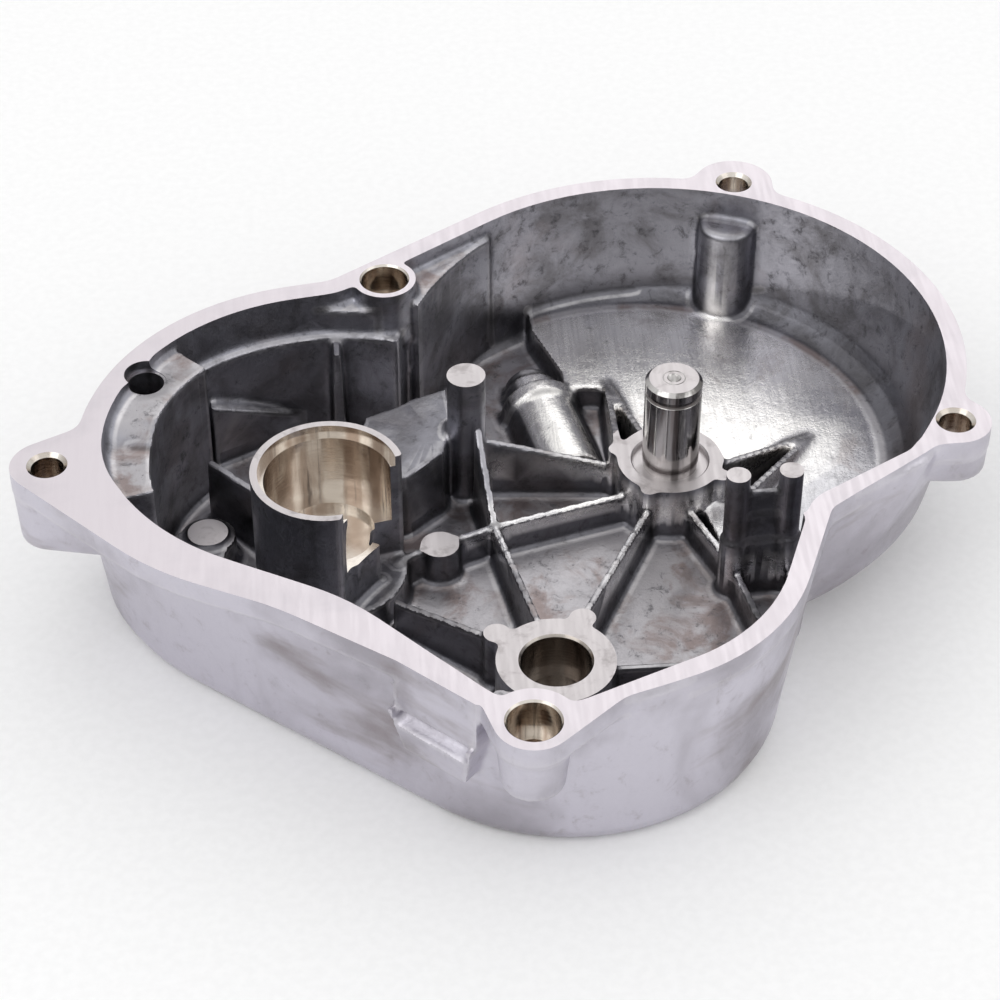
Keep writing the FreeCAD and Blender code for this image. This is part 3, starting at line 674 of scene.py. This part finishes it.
@dataclass(frozen=True)
class FloorFinish:
    """Plain pale studio floor."""

    paper: Triple = (0.93, 0.93, 0.93)
    shade: Triple = (0.9021, 0.9021, 0.9021)
    fibres: Mottle = Mottle(2.0)
    mottled: Ramp = Ramp(0.3, 0.7)
    roughness: float = 0.9

    def build(self) -> bpy.types.Material:
        """Build the material of the floor.

        Returns:
            The material.
        """
        g = Graph("studio_paper")
        base = g.coat(self.paper, self.fibres, self.mottled, self.shade)
        g.feed(g.shader.inputs["Base Color"], base)
        g.feed(g.shader.inputs["Roughness"], self.roughness)
        return g.material


# ---------------------------------------------------------------- meshes
def clamp(value: float, low: float, high: float) -> float:
    """Return the value, kept between low and high."""
    return min(max(value, low), high)


def lathe(name: str, profile: list[tuple[float, float]], centre: tuple[float, float],
          steps: int = 96) -> bpy.types.Object:
    """Turn a profile about a vertical axis into a closed solid.

    Args:
        name: Name of the object.
        profile: (radius, height) points in millimetres, from the bottom of the axis to its top.
        centre: Axis in the plan, in millimetres.
        steps: Segments round the axis.

    Returns:
        The new object, linked to the scene.
    """
    mesh = bmesh.new()
    rows: list[list[bmesh.types.BMVert]] = []
    for radius, height in profile:
        if radius == 0:
            rows.append([mesh.verts.new((centre[0] * MM, centre[1] * MM, height * MM))])
            continue
        row = []
        for step in range(steps):
            turn = 2 * math.pi * step / steps
            row.append(mesh.verts.new(((centre[0] + radius * math.cos(turn)) * MM,
                                       (centre[1] + radius * math.sin(turn)) * MM,
                                       height * MM)))
        rows.append(row)
    for low, high in zip(rows, rows[1:]):
        for step in range(steps):
            after = (step + 1) % steps
            corners = [low[step % len(low)], low[after % len(low)],
                       high[after % len(high)], high[step % len(high)]]
            mesh.faces.new(list(dict.fromkeys(corners)))
    bmesh.ops.recalc_face_normals(mesh, faces=mesh.faces)
    return link_mesh(name, mesh)


def link_mesh(name: str, mesh: bmesh.types.BMesh) -> bpy.types.Object:
    """Turn a bmesh into an object of the scene.

    Args:
        name: Name of the object and its data.
        mesh: The geometry, freed here.

    Returns:
        The new object.
    """
    data = bpy.data.meshes.new(name)
    mesh.to_mesh(data)
    mesh.free()
    made = bpy.data.objects.new(name, data)
    bpy.context.scene.collection.objects.link(made)
    return made


def bake_modifiers(piece: bpy.types.Object) -> None:
    """Replace a piece's mesh by what its modifiers make of it.

    Args:
        piece: The piece; its modifiers are used up.
    """
    graph = bpy.context.evaluated_depsgraph_get()
    final = bpy.data.meshes.new_from_object(piece.evaluated_get(graph), depsgraph=graph)
    piece.modifiers.clear()
    piece.data = final


def carve(piece: bpy.types.Object, tool: bpy.types.Object) -> None:
    """Cut a closed tool out of a piece; the cut keeps the tool's material.

    Args:
        piece: The piece that is cut.
        tool: The tool, removed afterwards.
    """
    cut = piece.modifiers.new("carve", "BOOLEAN")
    cut.operation = "DIFFERENCE"
    cut.solver = "MANIFOLD"
    cut.object = tool
    cut.material_mode = "TRANSFER"
    bake_modifiers(piece)
    bpy.data.objects.remove(tool)


# ---------------------------------------------------------------- casting
class Relief:
    """Evenly meshed skin as arrays, to fill its hollow corners."""

    def __init__(self, data: bpy.types.Mesh) -> None:
        """Read points and edges.

        Args:
            data: The mesh that is worked on.
        """
        self.data = data
        self.count = len(data.vertices)
        flat = np.zeros(self.count * 3)
        data.vertices.foreach_get("co", flat)
        self.points = flat.reshape(-1, 3)
        pairs = np.zeros(len(data.edges) * 2, np.int64)
        data.edges.foreach_get("vertices", pairs)
        pairs = pairs.reshape(-1, 2)
        self.here = np.concatenate([pairs[:, 0], pairs[:, 1]])
        self.there = np.concatenate([pairs[:, 1], pairs[:, 0]])
        self.valence = np.maximum(np.bincount(self.here, minlength=self.count), 1)

    def around(self, values: np.ndarray) -> np.ndarray:
        """Return the mean of each vertex's neighbours."""
        total = np.bincount(self.here, weights=values[self.there], minlength=self.count)
        return total / self.valence

    def normals(self) -> np.ndarray:
        """Write the points back to the mesh.

        Returns:
            The vertex normals of the points as they now are.
        """
        self.data.vertices.foreach_set("co", self.points.ravel())
        self.data.update()
        flat = np.zeros(self.count * 3)
        self.data.vertices.foreach_get("normal", flat)
        return flat.reshape(-1, 3)

    def bend(self, normals: np.ndarray) -> tuple[np.ndarray, np.ndarray]:
        """Measure how the skin bends at each vertex.

        Args:
            normals: The vertex normals.

        Returns:
            Each vertex's step to its neighbours' mean, and that step's outward part.
        """
        step = np.stack([self.around(self.points[:, axis]) for axis in range(3)], axis=1)
        step -= self.points
        return step, np.einsum("ij,ij->i", step, normals)

    def fill_corners(self, passes: int, where: np.ndarray, stride: float = 0.5,
                     refresh: int = 4) -> None:
        """Round the hollow corners, and leave everything that stands proud.

        Args:
            passes: Number of smoothing steps.
            where: True at the vertices that may move.
            stride: Part of the way to its neighbours' mean that a vertex moves.
            refresh: Number of steps between new normals.
        """
        for index in range(passes):
            if index % refresh == 0:
                normals = self.normals()
            step, outward = self.bend(normals)
            self.points += stride * step * (where & (outward > 0))[:, None]
        self.normals()


class SharpEdges:
    """The solid's sharp edges, standing proud or hollow, to tell where its skin wears, where its
    hollow corners are rounded and where shade is painted into them.
    """

    def __init__(self, mesh: bmesh.types.BMesh, bend: float = 35.0, spacing: float = 0.4) -> None:
        """Sample the edges.

        Args:
            mesh: The solid, in metres.
            bend: Least bend of a sharp edge, in degrees.
            spacing: Distance between samples, in millimetres.
        """
        samples: dict[bool, list[Vector]] = {True: [], False: []}
        for edge in mesh.edges:
            if len(edge.link_faces) != 2 or edge.calc_face_angle(0.0) < math.radians(bend):
                continue
            start, end = (vert.co for vert in edge.verts)
            count = max(1, round(edge.calc_length() / (spacing * MM)))
            samples[edge.is_convex] += [start.lerp(end, i / count) for i in range(count + 1)]
        self.trees = {proud: self.tree(points) for proud, points in samples.items()}

    @staticmethod
    def tree(points: list[Vector]) -> KDTree:
        """Make a search tree.

        Args:
            points: The points.

        Returns:
            The tree over them.
        """
        made = KDTree(len(points))
        for index, point in enumerate(points):
            made.insert(point, index)
        made.balance()
        return made

    def near(self, point: Vector, proud: bool, reach: float, core: float = 0.0) -> float:
        """Tell how close a point is to an edge of one kind.

        Args:
            point: The point, in metres.
            proud: Which kind of edge counts.
            reach: Distance in millimetres from which the result is 0.
            core: Distance up to which it is 1.

        Returns:
            A value from 0 to 1.
        """
        gap = self.trees[proud].find(point)[2] / MM
        return clamp((reach - gap) / (reach - core), 0.0, 1.0)


@dataclass(frozen=True)
class Facing:
    """A milled flat that stands free: centre, reach and level."""

    x: float
    y: float
    reach: float
    level: float


@dataclass(frozen=True)
class Bore:
    """A drilled or bored hole, as (radius, level) steps from its bottom to its mouth."""

    x: float
    y: float
    steps: tuple[tuple[float, float], ...]
    chamfer: float = 0.0
    skin: Skin = Skin.BORED


@dataclass
class CastHousing:
    """The aluminium casting with its milled faces and bored holes."""

    rim: float = 39.0
    stock: float = 1.3              # left on a face before it is milled
    grid: float = 0.5               # remeshing grid
    weld: float = 0.002             # distance within which corners are the same
    soften: int = 5                 # smoothing passes, which set the radius of edges
    soften_step: float = 0.5        # part of the way to its neighbours' mean at each pass
    fill: int = 24                  # further passes that only round hollow corners
    fillet: float = 3.5             # reach of that rounding
    worn: float = 1.3               # reach of the wear round an edge
    foot: float = 3.0               # reach of the painted shade and painted highlight line round a hollow corner
    triangles: int = 222000         # left in the skin; machining then takes some away
    dish: tuple[float, float, float, float] = (-3.5, 12.0, 50.0, 9.5)    # x, y, radius, level
    dish_edge: tuple[float, float] = (1.0, 2.0)     # its finish ends past the radius, over a width
    dish_top: tuple[float, float] = (6.0, 4.0)      # and above the level, over a height
    dish_under: float = 1.0         # and below the level
    stiffeners: tuple[tuple[float, float], ...] = ((-43.3, -89.55), (-42.0, -90.1))
    stiffener: Triple = (1.5, 16.0, 37.0)           # radius, foot and top
    stiffener_facets: int = 24
    over_rim: float = 5.2           # height of the cutter that mills the joint face
    over_face: float = 2.08         # height of the cutters that mill lower faces
    over_bore: float = 2.6          # height of a bore's cutter above its mouth
    past_rim: float = 10.0          # reach of the joint face's cutter past the casting
    probe: float = 0.4              # distance from a face at which it looks for walls round it
    crease: float = 32.0            # bend in degrees from which the shading breaks
    facings: tuple[Facing, ...] = (
        Facing(-72.7, -22.7, 17.2, 36.5),                         # bearing ring
        Facing(0.0, 0.0, 14.6, 16.0),                             # pin boss
        Facing(-29.9, -59.6, 17.4, 16.0),                         # idler boss
        Facing(-42.8, 7.9, 5.0, 35.0),                            # tall post
        Facing(-50.2, -18.2, 5.0, 11.2),                          # low post
        Facing(-98.3, -10.4, 4.6, 11.0),                          # corner boss
        Facing(9.6, -28.3, 3.4, 34.5),                            # twin posts
        Facing(20.5, -27.6, 3.4, 34.5),
    )
    bores: tuple[Bore, ...] = (
        Bore(-128.3, -19.8, ((3.3, 18.0),), 0.8),                 # left ear
        Bore(55.0, -19.8, ((3.3, 25.0),), 0.8),                   # right ear
        Bore(22.3, 69.1, ((3.3, 25.0),), 0.8),                    # top ear
        Bore(-58.4, 38.0, ((3.25, 26.0), (5.0, 31.0)), 0.4),      # back dowel
        Bore(-37.9, -98.8, ((3.25, 26.0), (5.0, 31.0)), 0.4),     # front dowel
        Bore(-109.4, 8.4, ((3.75, 22.5), (4.35, 36.4)), 0.0, Skin.OUTER),  # shelf hole
    )
    low_bores: tuple[tuple[Bore, float], ...] = (
        (Bore(-72.7, -22.7, ((9.25, 18.5), (13.0, 20.0), (14.1, 34.1)), 0.0), 36.5),  # bearing seat
        (Bore(-29.9, -59.6, ((5.5, 5.0), (7.0, 6.5)), 0.45), 16.0),                   # idler bore
        (Bore(0.0, 0.0, ((5.8, 5.0), (8.1, 14.8)), 0.3, Skin.MILLED), 16.0),          # pin's recess
    )

    def build(self) -> bpy.types.Object:
        """Build and dress the casting in its CAD node's place.

        Returns:
            The casting.
        """
        casting, edges = self.grow_skin()
        for skin in (OuterFinish(), InnerFinish(), MilledFinish(), BoredFinish()):
            casting.data.materials.append(skin.build())
        self.machine(casting)
        self.split_skin(casting.data)
        self.mark_surfaces(casting.data, edges)
        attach(casting, "root")
        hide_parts(Node.HOUSING.value)
        return casting

    def all_bores(self) -> list[tuple[Bore, float]]:
        """Return each bore with the level of its mouth."""
        return [(bore, self.rim) for bore in self.bores] + list(self.low_bores)

    def grow_skin(self) -> tuple[bpy.types.Object, SharpEdges]:
        """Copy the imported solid, leave stock where it is machined, and remesh it.

        Returns:
            The softened skin and the solid's sharp edges.
        """
        mesh = bmesh.new()
        mesh.from_mesh(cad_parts[Node.HOUSING.value].data)
        bmesh.ops.remove_doubles(mesh, verts=mesh.verts, dist=self.weld * MM)
        for vert in mesh.verts:
            vert.co = self.with_stock(vert.co)
        mesh.normal_update()
        edges = SharpEdges(mesh)
        self.stiffen(mesh)
        casting = link_mesh("housing_casting", mesh)
        self.soften_skin(casting)
        self.fill_skin(casting, edges)
        return casting, edges

    def soften_skin(self, casting: bpy.types.Object) -> None:
        """Remesh a casting evenly, pull it back onto its faces and round its edges.

        Args:
            casting: The casting as a copy of the solid.
        """
        remesh = casting.modifiers.new("skin", "REMESH")
        remesh.mode = "VOXEL"
        remesh.voxel_size = self.grid * MM
        solid = bpy.data.objects.new("solid", casting.data)
        bpy.context.scene.collection.objects.link(solid)
        snap = casting.modifiers.new("snap", "SHRINKWRAP")
        snap.target = solid
        smooth = casting.modifiers.new("soften", "SMOOTH")
        smooth.factor = self.soften_step
        smooth.iterations = self.soften
        bake_modifiers(casting)
        bpy.data.objects.remove(solid)

    def fill_skin(self, casting: bpy.types.Object, edges: SharpEdges) -> None:
        """Round the hollow corners of the skin and thin its mesh.

        Args:
            casting: The evenly meshed casting.
            edges: The solid's sharp edges.
        """
        relief = Relief(casting.data)
        corner = np.array([edges.near(Vector(p), False, self.fillet) > 0 for p in relief.points])
        relief.fill_corners(self.fill, corner)
        count = sum(len(face.vertices) - 2 for face in casting.data.polygons)
        LOG.info("skin before thinning: %d triangles", count)
        thin = casting.modifiers.new("thin", "DECIMATE")
        thin.ratio = min(1.0, self.triangles / count)
        bake_modifiers(casting)

    def stiffen(self, mesh: bmesh.types.BMesh) -> None:
        """Add round stiffeners where the wall beside the front dowel lug is at its thinnest.

        Args:
            mesh: The solid, in metres; the remesh melts the stiffeners into its wall.
        """
        radius, foot, top = (part * MM for part in self.stiffener)
        for x, y in self.stiffeners:
            place = Matrix.Translation((x * MM, y * MM, (foot + top) / 2))
            bmesh.ops.create_cone(mesh, cap_ends=True, segments=self.stiffener_facets,
                                  radius1=radius, radius2=radius, depth=top - foot,
                                  matrix=place)

    def with_stock(self, point: Vector) -> Vector:
        """Move a corner of the solid so that machining has material to remove.

        Args:
            point: Corner in metres.

        Returns:
            The moved corner.
        """
        x, y, z = (part / MM for part in point)
        for bore, _ in self.all_bores():
            dx = x - bore.x
            dy = y - bore.y
            gap = math.hypot(dx, dy)
            for radius, level in bore.steps:
                if abs(z - level) < ON_LEVEL and gap < radius + ON_WALL:
                    z += self.stock
                    break
            for radius, level in bore.steps:
                if -ON_WALL < gap - radius < bore.chamfer + ON_WALL and z > level - UNDER_STEP:
                    left = (radius - self.stock) / gap
                    x = bore.x + dx * left
                    y = bore.y + dy * left
                    break
        if z > self.rim - ON_LEVEL:
            z += self.stock
        for face in self.facings:
            close = math.hypot(x - face.x, y - face.y) < face.reach
            if close and abs(z - face.level) < ON_LEVEL:
                z += self.stock
        return Vector((x * MM, y * MM, z * MM))

    def machine(self, casting: bpy.types.Object) -> None:
        """Mill the faces and bore the holes.

        Args:
            casting: The softened casting, with its stock on.
        """
        mill = bmesh.new()
        bmesh.ops.create_cube(mill, size=1.0)
        low, high = CAD_BOX
        past = 2 * self.past_rim * MM
        size = Vector((high.x - low.x + past, high.y - low.y + past, self.over_rim * MM))
        middle = Vector(((low.x + high.x) / 2, (low.y + high.y) / 2,
                         self.rim * MM + size.z / 2))
        bmesh.ops.transform(mill, matrix=Matrix.Diagonal(size.to_4d()), verts=mill.verts)
        bmesh.ops.translate(mill, vec=middle, verts=mill.verts)
        self.cut(casting, link_mesh("rim_mill", mill), Skin.MILLED)
        for face in self.facings:
            top = face.level + self.over_face
            profile = [(0.0, face.level), (face.reach, face.level), (face.reach, top), (0.0, top)]
            self.cut(casting, lathe("face_mill", profile, (face.x, face.y)), Skin.MILLED)
        for bore, mouth in self.all_bores():
            self.cut(casting, self.bore_tool(bore, mouth), bore.skin)

    def bore_tool(self, bore: Bore, mouth: float) -> bpy.types.Object:
        """Make the solid that a bore removes.

        Args:
            bore: The bore.
            mouth: Level of its mouth.

        Returns:
            The cutter.
        """
        top = mouth + self.over_bore
        profile = [(0.0, bore.steps[0][1])]
        for (radius, level), (_, above) in zip(bore.steps, bore.steps[1:]):
            profile += [(radius, level), (radius, above)]
        profile.append(bore.steps[-1])
        radius = bore.steps[-1][0]
        if bore.chamfer:
            profile.append((radius, mouth - bore.chamfer))
            profile.append((radius + bore.chamfer + self.over_bore, top))
        else:
            profile.append((radius, top))
        profile.append((0.0, top))
        return lathe("bore_tool", profile, (bore.x, bore.y))

    def cut(self, casting: bpy.types.Object, tool: bpy.types.Object, skin: Skin) -> None:
        """Cut a tool out of the casting.

        Args:
            casting: The casting.
            tool: The cutter, used up.
            skin: Finish of the cut.
        """
        for material in casting.data.materials:
            tool.data.materials.append(material)
        tool.data.polygons.foreach_set("material_index", [skin.value] * len(tool.data.polygons))
        carve(casting, tool)

    def split_skin(self, data: bpy.types.Mesh) -> None:
        """Give the cast faces that lie inside the case their own material.

        Args:
            data: The machined casting.
        """
        tree = BVHTree.FromPolygons([vert.co for vert in data.vertices],
                                    [tuple(face.vertices) for face in data.polygons])
        low, high = CAD_BOX
        centre = (low + high) / 2
        down = Vector((0, 0, -1))
        for face in data.polygons:
            if face.material_index != Skin.OUTER.value:
                continue
            start = face.center + face.normal * self.probe * MM
            outward = Vector((start.x - centre.x, start.y - centre.y, 0.0)).normalized()
            walled = tree.ray_cast(start, outward)[0] is not None
            if walled and tree.ray_cast(start, down)[0] is not None:
                face.material_index = Skin.INNER.value

    def mark_surfaces(self, data: bpy.types.Mesh, edges: SharpEdges) -> None:
        """Store wear, corners and the dish's floor on the mesh, and set its shading.

        Args:
            data: The machined casting.
            edges: The solid's sharp edges.
        """
        wear = [edges.near(vert.co, True, self.worn, self.worn / 2) for vert in data.vertices]
        # nearness to hollow corners, which places the painted shade and painted highlight lines
        # there
        foot = [edges.near(vert.co, False, self.foot) for vert in data.vertices]
        floor = [self.dish_cover(vert.co) for vert in data.vertices]
        for name, values in (("wear", wear), ("foot", foot), ("dish", floor)):
            layer = data.attributes.new(name, "FLOAT", "POINT")
            layer.data.foreach_set("value", values)
        data.polygons.foreach_set("use_smooth", [True] * len(data.polygons))
        data.set_sharp_from_angle(angle=math.radians(self.crease))

    def dish_cover(self, point: Vector) -> float:
        """Tell how far a point belongs to the dish's brushed floor.

        Args:
            point: The point, in metres.

        Returns:
            1 on the floor, -1 outside its edge at its level, and 0 well above or below it.
        """
        x, y, radius, level = self.dish
        past, width = self.dish_edge
        top, fade = self.dish_top
        gap = math.hypot(point.x / MM - x, point.y / MM - y)
        height = point.z / MM - level
        across = clamp((radius + past - gap) / width, -1.0, 1.0)
        below_top = clamp((top - height) / fade, 0.0, 1.0)
        return across * below_top * clamp(height + self.dish_under, 0.0, 1.0)


# ---------------------------------------------------------------- pin
@dataclass
class IdlerPin:
    """Ground steel pin with a circlip groove and a centre mark."""

    chamfer: float = 0.8
    soft: float = 0.12              # breaks of the groove's edges
    shank_radius: float = 5.8       # pressed into the boss
    ground_from: float = 16.6       # level where the shank ends
    groove_down: float = 2.6
    groove_width: float = 1.2
    groove_depth: float = 0.45
    mark_radius: float = 1.5
    mark_ring: tuple[float, float] = (2.3, 0.06)    # radius and depth
    facets: int = 128
    crease: float = 25.0            # bend in degrees from which the shading breaks
    level_face: float = 0.99        # least rise of a normal on the milled end

    def build(self) -> bpy.types.Object:
        """Build and dress the pin in its CAD node's place.

        Returns:
            The pin.
        """
        pin = lathe("steel_pin", self.profile(), (0.0, 0.0), self.facets)
        pin.data.polygons.foreach_set("use_smooth", [True] * len(pin.data.polygons))
        pin.data.set_sharp_from_angle(angle=math.radians(self.crease))
        for finish in (SteelFinish(), MilledFinish()):
            pin.data.materials.append(finish.build())
        for face in pin.data.polygons:
            face.material_index = int(face.normal.z > self.level_face)
        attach(pin, "root")
        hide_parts(Node.PIN.value)
        return pin

    def profile(self) -> list[tuple[float, float]]:
        """Draw half of the pin's section from the box of its CAD node.

        Returns:
            (radius, height) points in millimetres, from its foot to its top.
        """
        low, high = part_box(Node.PIN.value)
        radius = (high.x - low.x) / 2 / MM
        foot = low.z / MM
        top = high.z / MM
        groove_top = top - self.groove_down
        groove_foot = groove_top - self.groove_width
        ring, ring_depth = self.mark_ring
        return [
            (0.0, foot),
            (self.shank_radius, foot),
            (self.shank_radius, self.ground_from),
            (radius, self.ground_from),
            (radius, groove_foot - self.soft),
            (radius - self.soft, groove_foot),
            (radius - self.groove_depth, groove_foot),
            (radius - self.groove_depth, groove_top),
            (radius - self.soft, groove_top),
            (radius, groove_top + self.soft),
            (radius, top - self.chamfer),
            (radius - self.chamfer, top),
            (ring + 2 * ring_depth, top),
            (ring, top - ring_depth),
            (ring - 2 * ring_depth, top),
            (self.mark_radius, top),
            (0.0, top - self.mark_radius),
        ]


# ---------------------------------------------------------------- studio
@dataclass
class Studio:
    """Pale floor, soft light and the camera."""

    floor_size: float = 6.0
    camera_at: Triple = (-71.3, -447.1, 389.0)
    heading: tuple[float, float] = (0.0781, 0.9969)
    pitch: float = 40.43            # degrees below the horizon
    lens: float = 99.1
    sensor: float = 36.0
    near: float = 10.0              # nearest thing that the camera sees
    light: float = 0.95
    white: float = 1.0
    horizon: float = 0.55           # what gloss sees level with the object, against white above
    dome: Ramp = Ramp(-0.05, 0.75)  # rise of a direction from horizon to white
    lamps: tuple[tuple[str, Triple, float, float], ...] = (     # name, place, width, watts
        ("key_softbox", (-0.55, -0.35, 0.80), 0.60, 1.2),
        ("fill_softbox", (0.75, -0.30, 0.60), 0.60, 0.6),
        ("back_softbox", (0.15, 0.85, 0.75), 0.50, 0.50),
    )

    def build(self) -> None:
        """Build floor, world, lamps and camera."""
        self.build_floor()
        self.build_world()
        self.build_lamps()
        self.build_camera()
        bpy.context.scene.view_settings.view_transform = "Standard"

    def build_floor(self) -> None:
        """Lay the floor just below the object."""
        mesh = bmesh.new()
        bmesh.ops.create_grid(mesh, x_segments=1, y_segments=1, size=self.floor_size / 2)
        floor = link_mesh("studio_floor", mesh)
        floor.location.z = CAD_BOX[0].z
        floor.data.materials.append(FloorFinish().build())

    def build_world(self) -> None:
        """Light the object evenly; the lens sees white, and gloss a dome that dims downward."""
        world = bpy.data.worlds.new("studio")
        bpy.context.scene.world = world
        world.use_nodes = True
        tree = world.node_tree
        back = tree.nodes["Background"]
        back.inputs["Color"].default_value = (1.0, 1.0, 1.0, 1.0)
        path = tree.nodes.new("ShaderNodeLightPath")
        sky = tree.nodes.new("ShaderNodeTexCoord")
        height = tree.nodes.new("ShaderNodeSeparateXYZ")
        tree.links.new(sky.outputs["Generated"], height.inputs[0])
        dome = tree.nodes.new("ShaderNodeMapRange")
        dome.interpolation_type = "SMOOTHSTEP"
        tree.links.new(height.outputs["Z"], dome.inputs["Value"])
        dome.inputs["From Min"].default_value = self.dome.low
        dome.inputs["From Max"].default_value = self.dome.high
        dome.inputs["To Min"].default_value = self.horizon
        dome.inputs["To Max"].default_value = self.white
        gloss = tree.nodes.new("ShaderNodeMix")
        tree.links.new(path.outputs["Is Glossy Ray"], gloss.inputs["Factor"])
        gloss.inputs["A"].default_value = self.light
        tree.links.new(dome.outputs["Result"], gloss.inputs["B"])
        seen = tree.nodes.new("ShaderNodeMix")
        tree.links.new(path.outputs["Is Camera Ray"], seen.inputs["Factor"])
        tree.links.new(gloss.outputs["Result"], seen.inputs["A"])
        seen.inputs["B"].default_value = self.white
        tree.links.new(seen.outputs["Result"], back.inputs["Strength"])

    def build_lamps(self) -> None:
        """Hang the soft boxes, each aimed at the object's middle."""
        middle = (CAD_BOX[0] + CAD_BOX[1]) / 2
        for name, place, size, power in self.lamps:
            data = bpy.data.lights.new(name, "AREA")
            data.shape = "SQUARE"
            data.size = size
            data.energy = power
            lamp = bpy.data.objects.new(name, data)
            bpy.context.scene.collection.objects.link(lamp)
            lamp.location = place
            lamp.rotation_euler = (middle - Vector(place)).to_track_quat("-Z", "Y").to_euler()

    def build_camera(self) -> None:
        """Place the camera and aim it."""
        data = bpy.data.cameras.new("camera")
        data.lens = self.lens
        data.sensor_width = self.sensor
        data.clip_start = self.near * MM
        camera = bpy.data.objects.new("camera", data)
        bpy.context.scene.collection.objects.link(camera)
        camera.location = Vector(self.camera_at) * MM
        drop = math.radians(self.pitch)
        look = Vector((self.heading[0] * math.cos(drop), self.heading[1] * math.cos(drop),
                       -math.sin(drop)))
        camera.rotation_euler = look.to_track_quat("-Z", "Y").to_euler()
        bpy.context.scene.camera = camera


def main() -> None:
    """Build every piece in order."""
    logging.basicConfig(level=logging.INFO, format="%(message)s")
    for sub_assembly in (CastHousing(), IdlerPin()):
        piece = sub_assembly.build()
        piece.data.calc_loop_triangles()
        LOG.info("%s: %d triangles", piece.name, len(piece.data.loop_triangles))
    Studio().build()


if __name__ == "__main__":
    main()
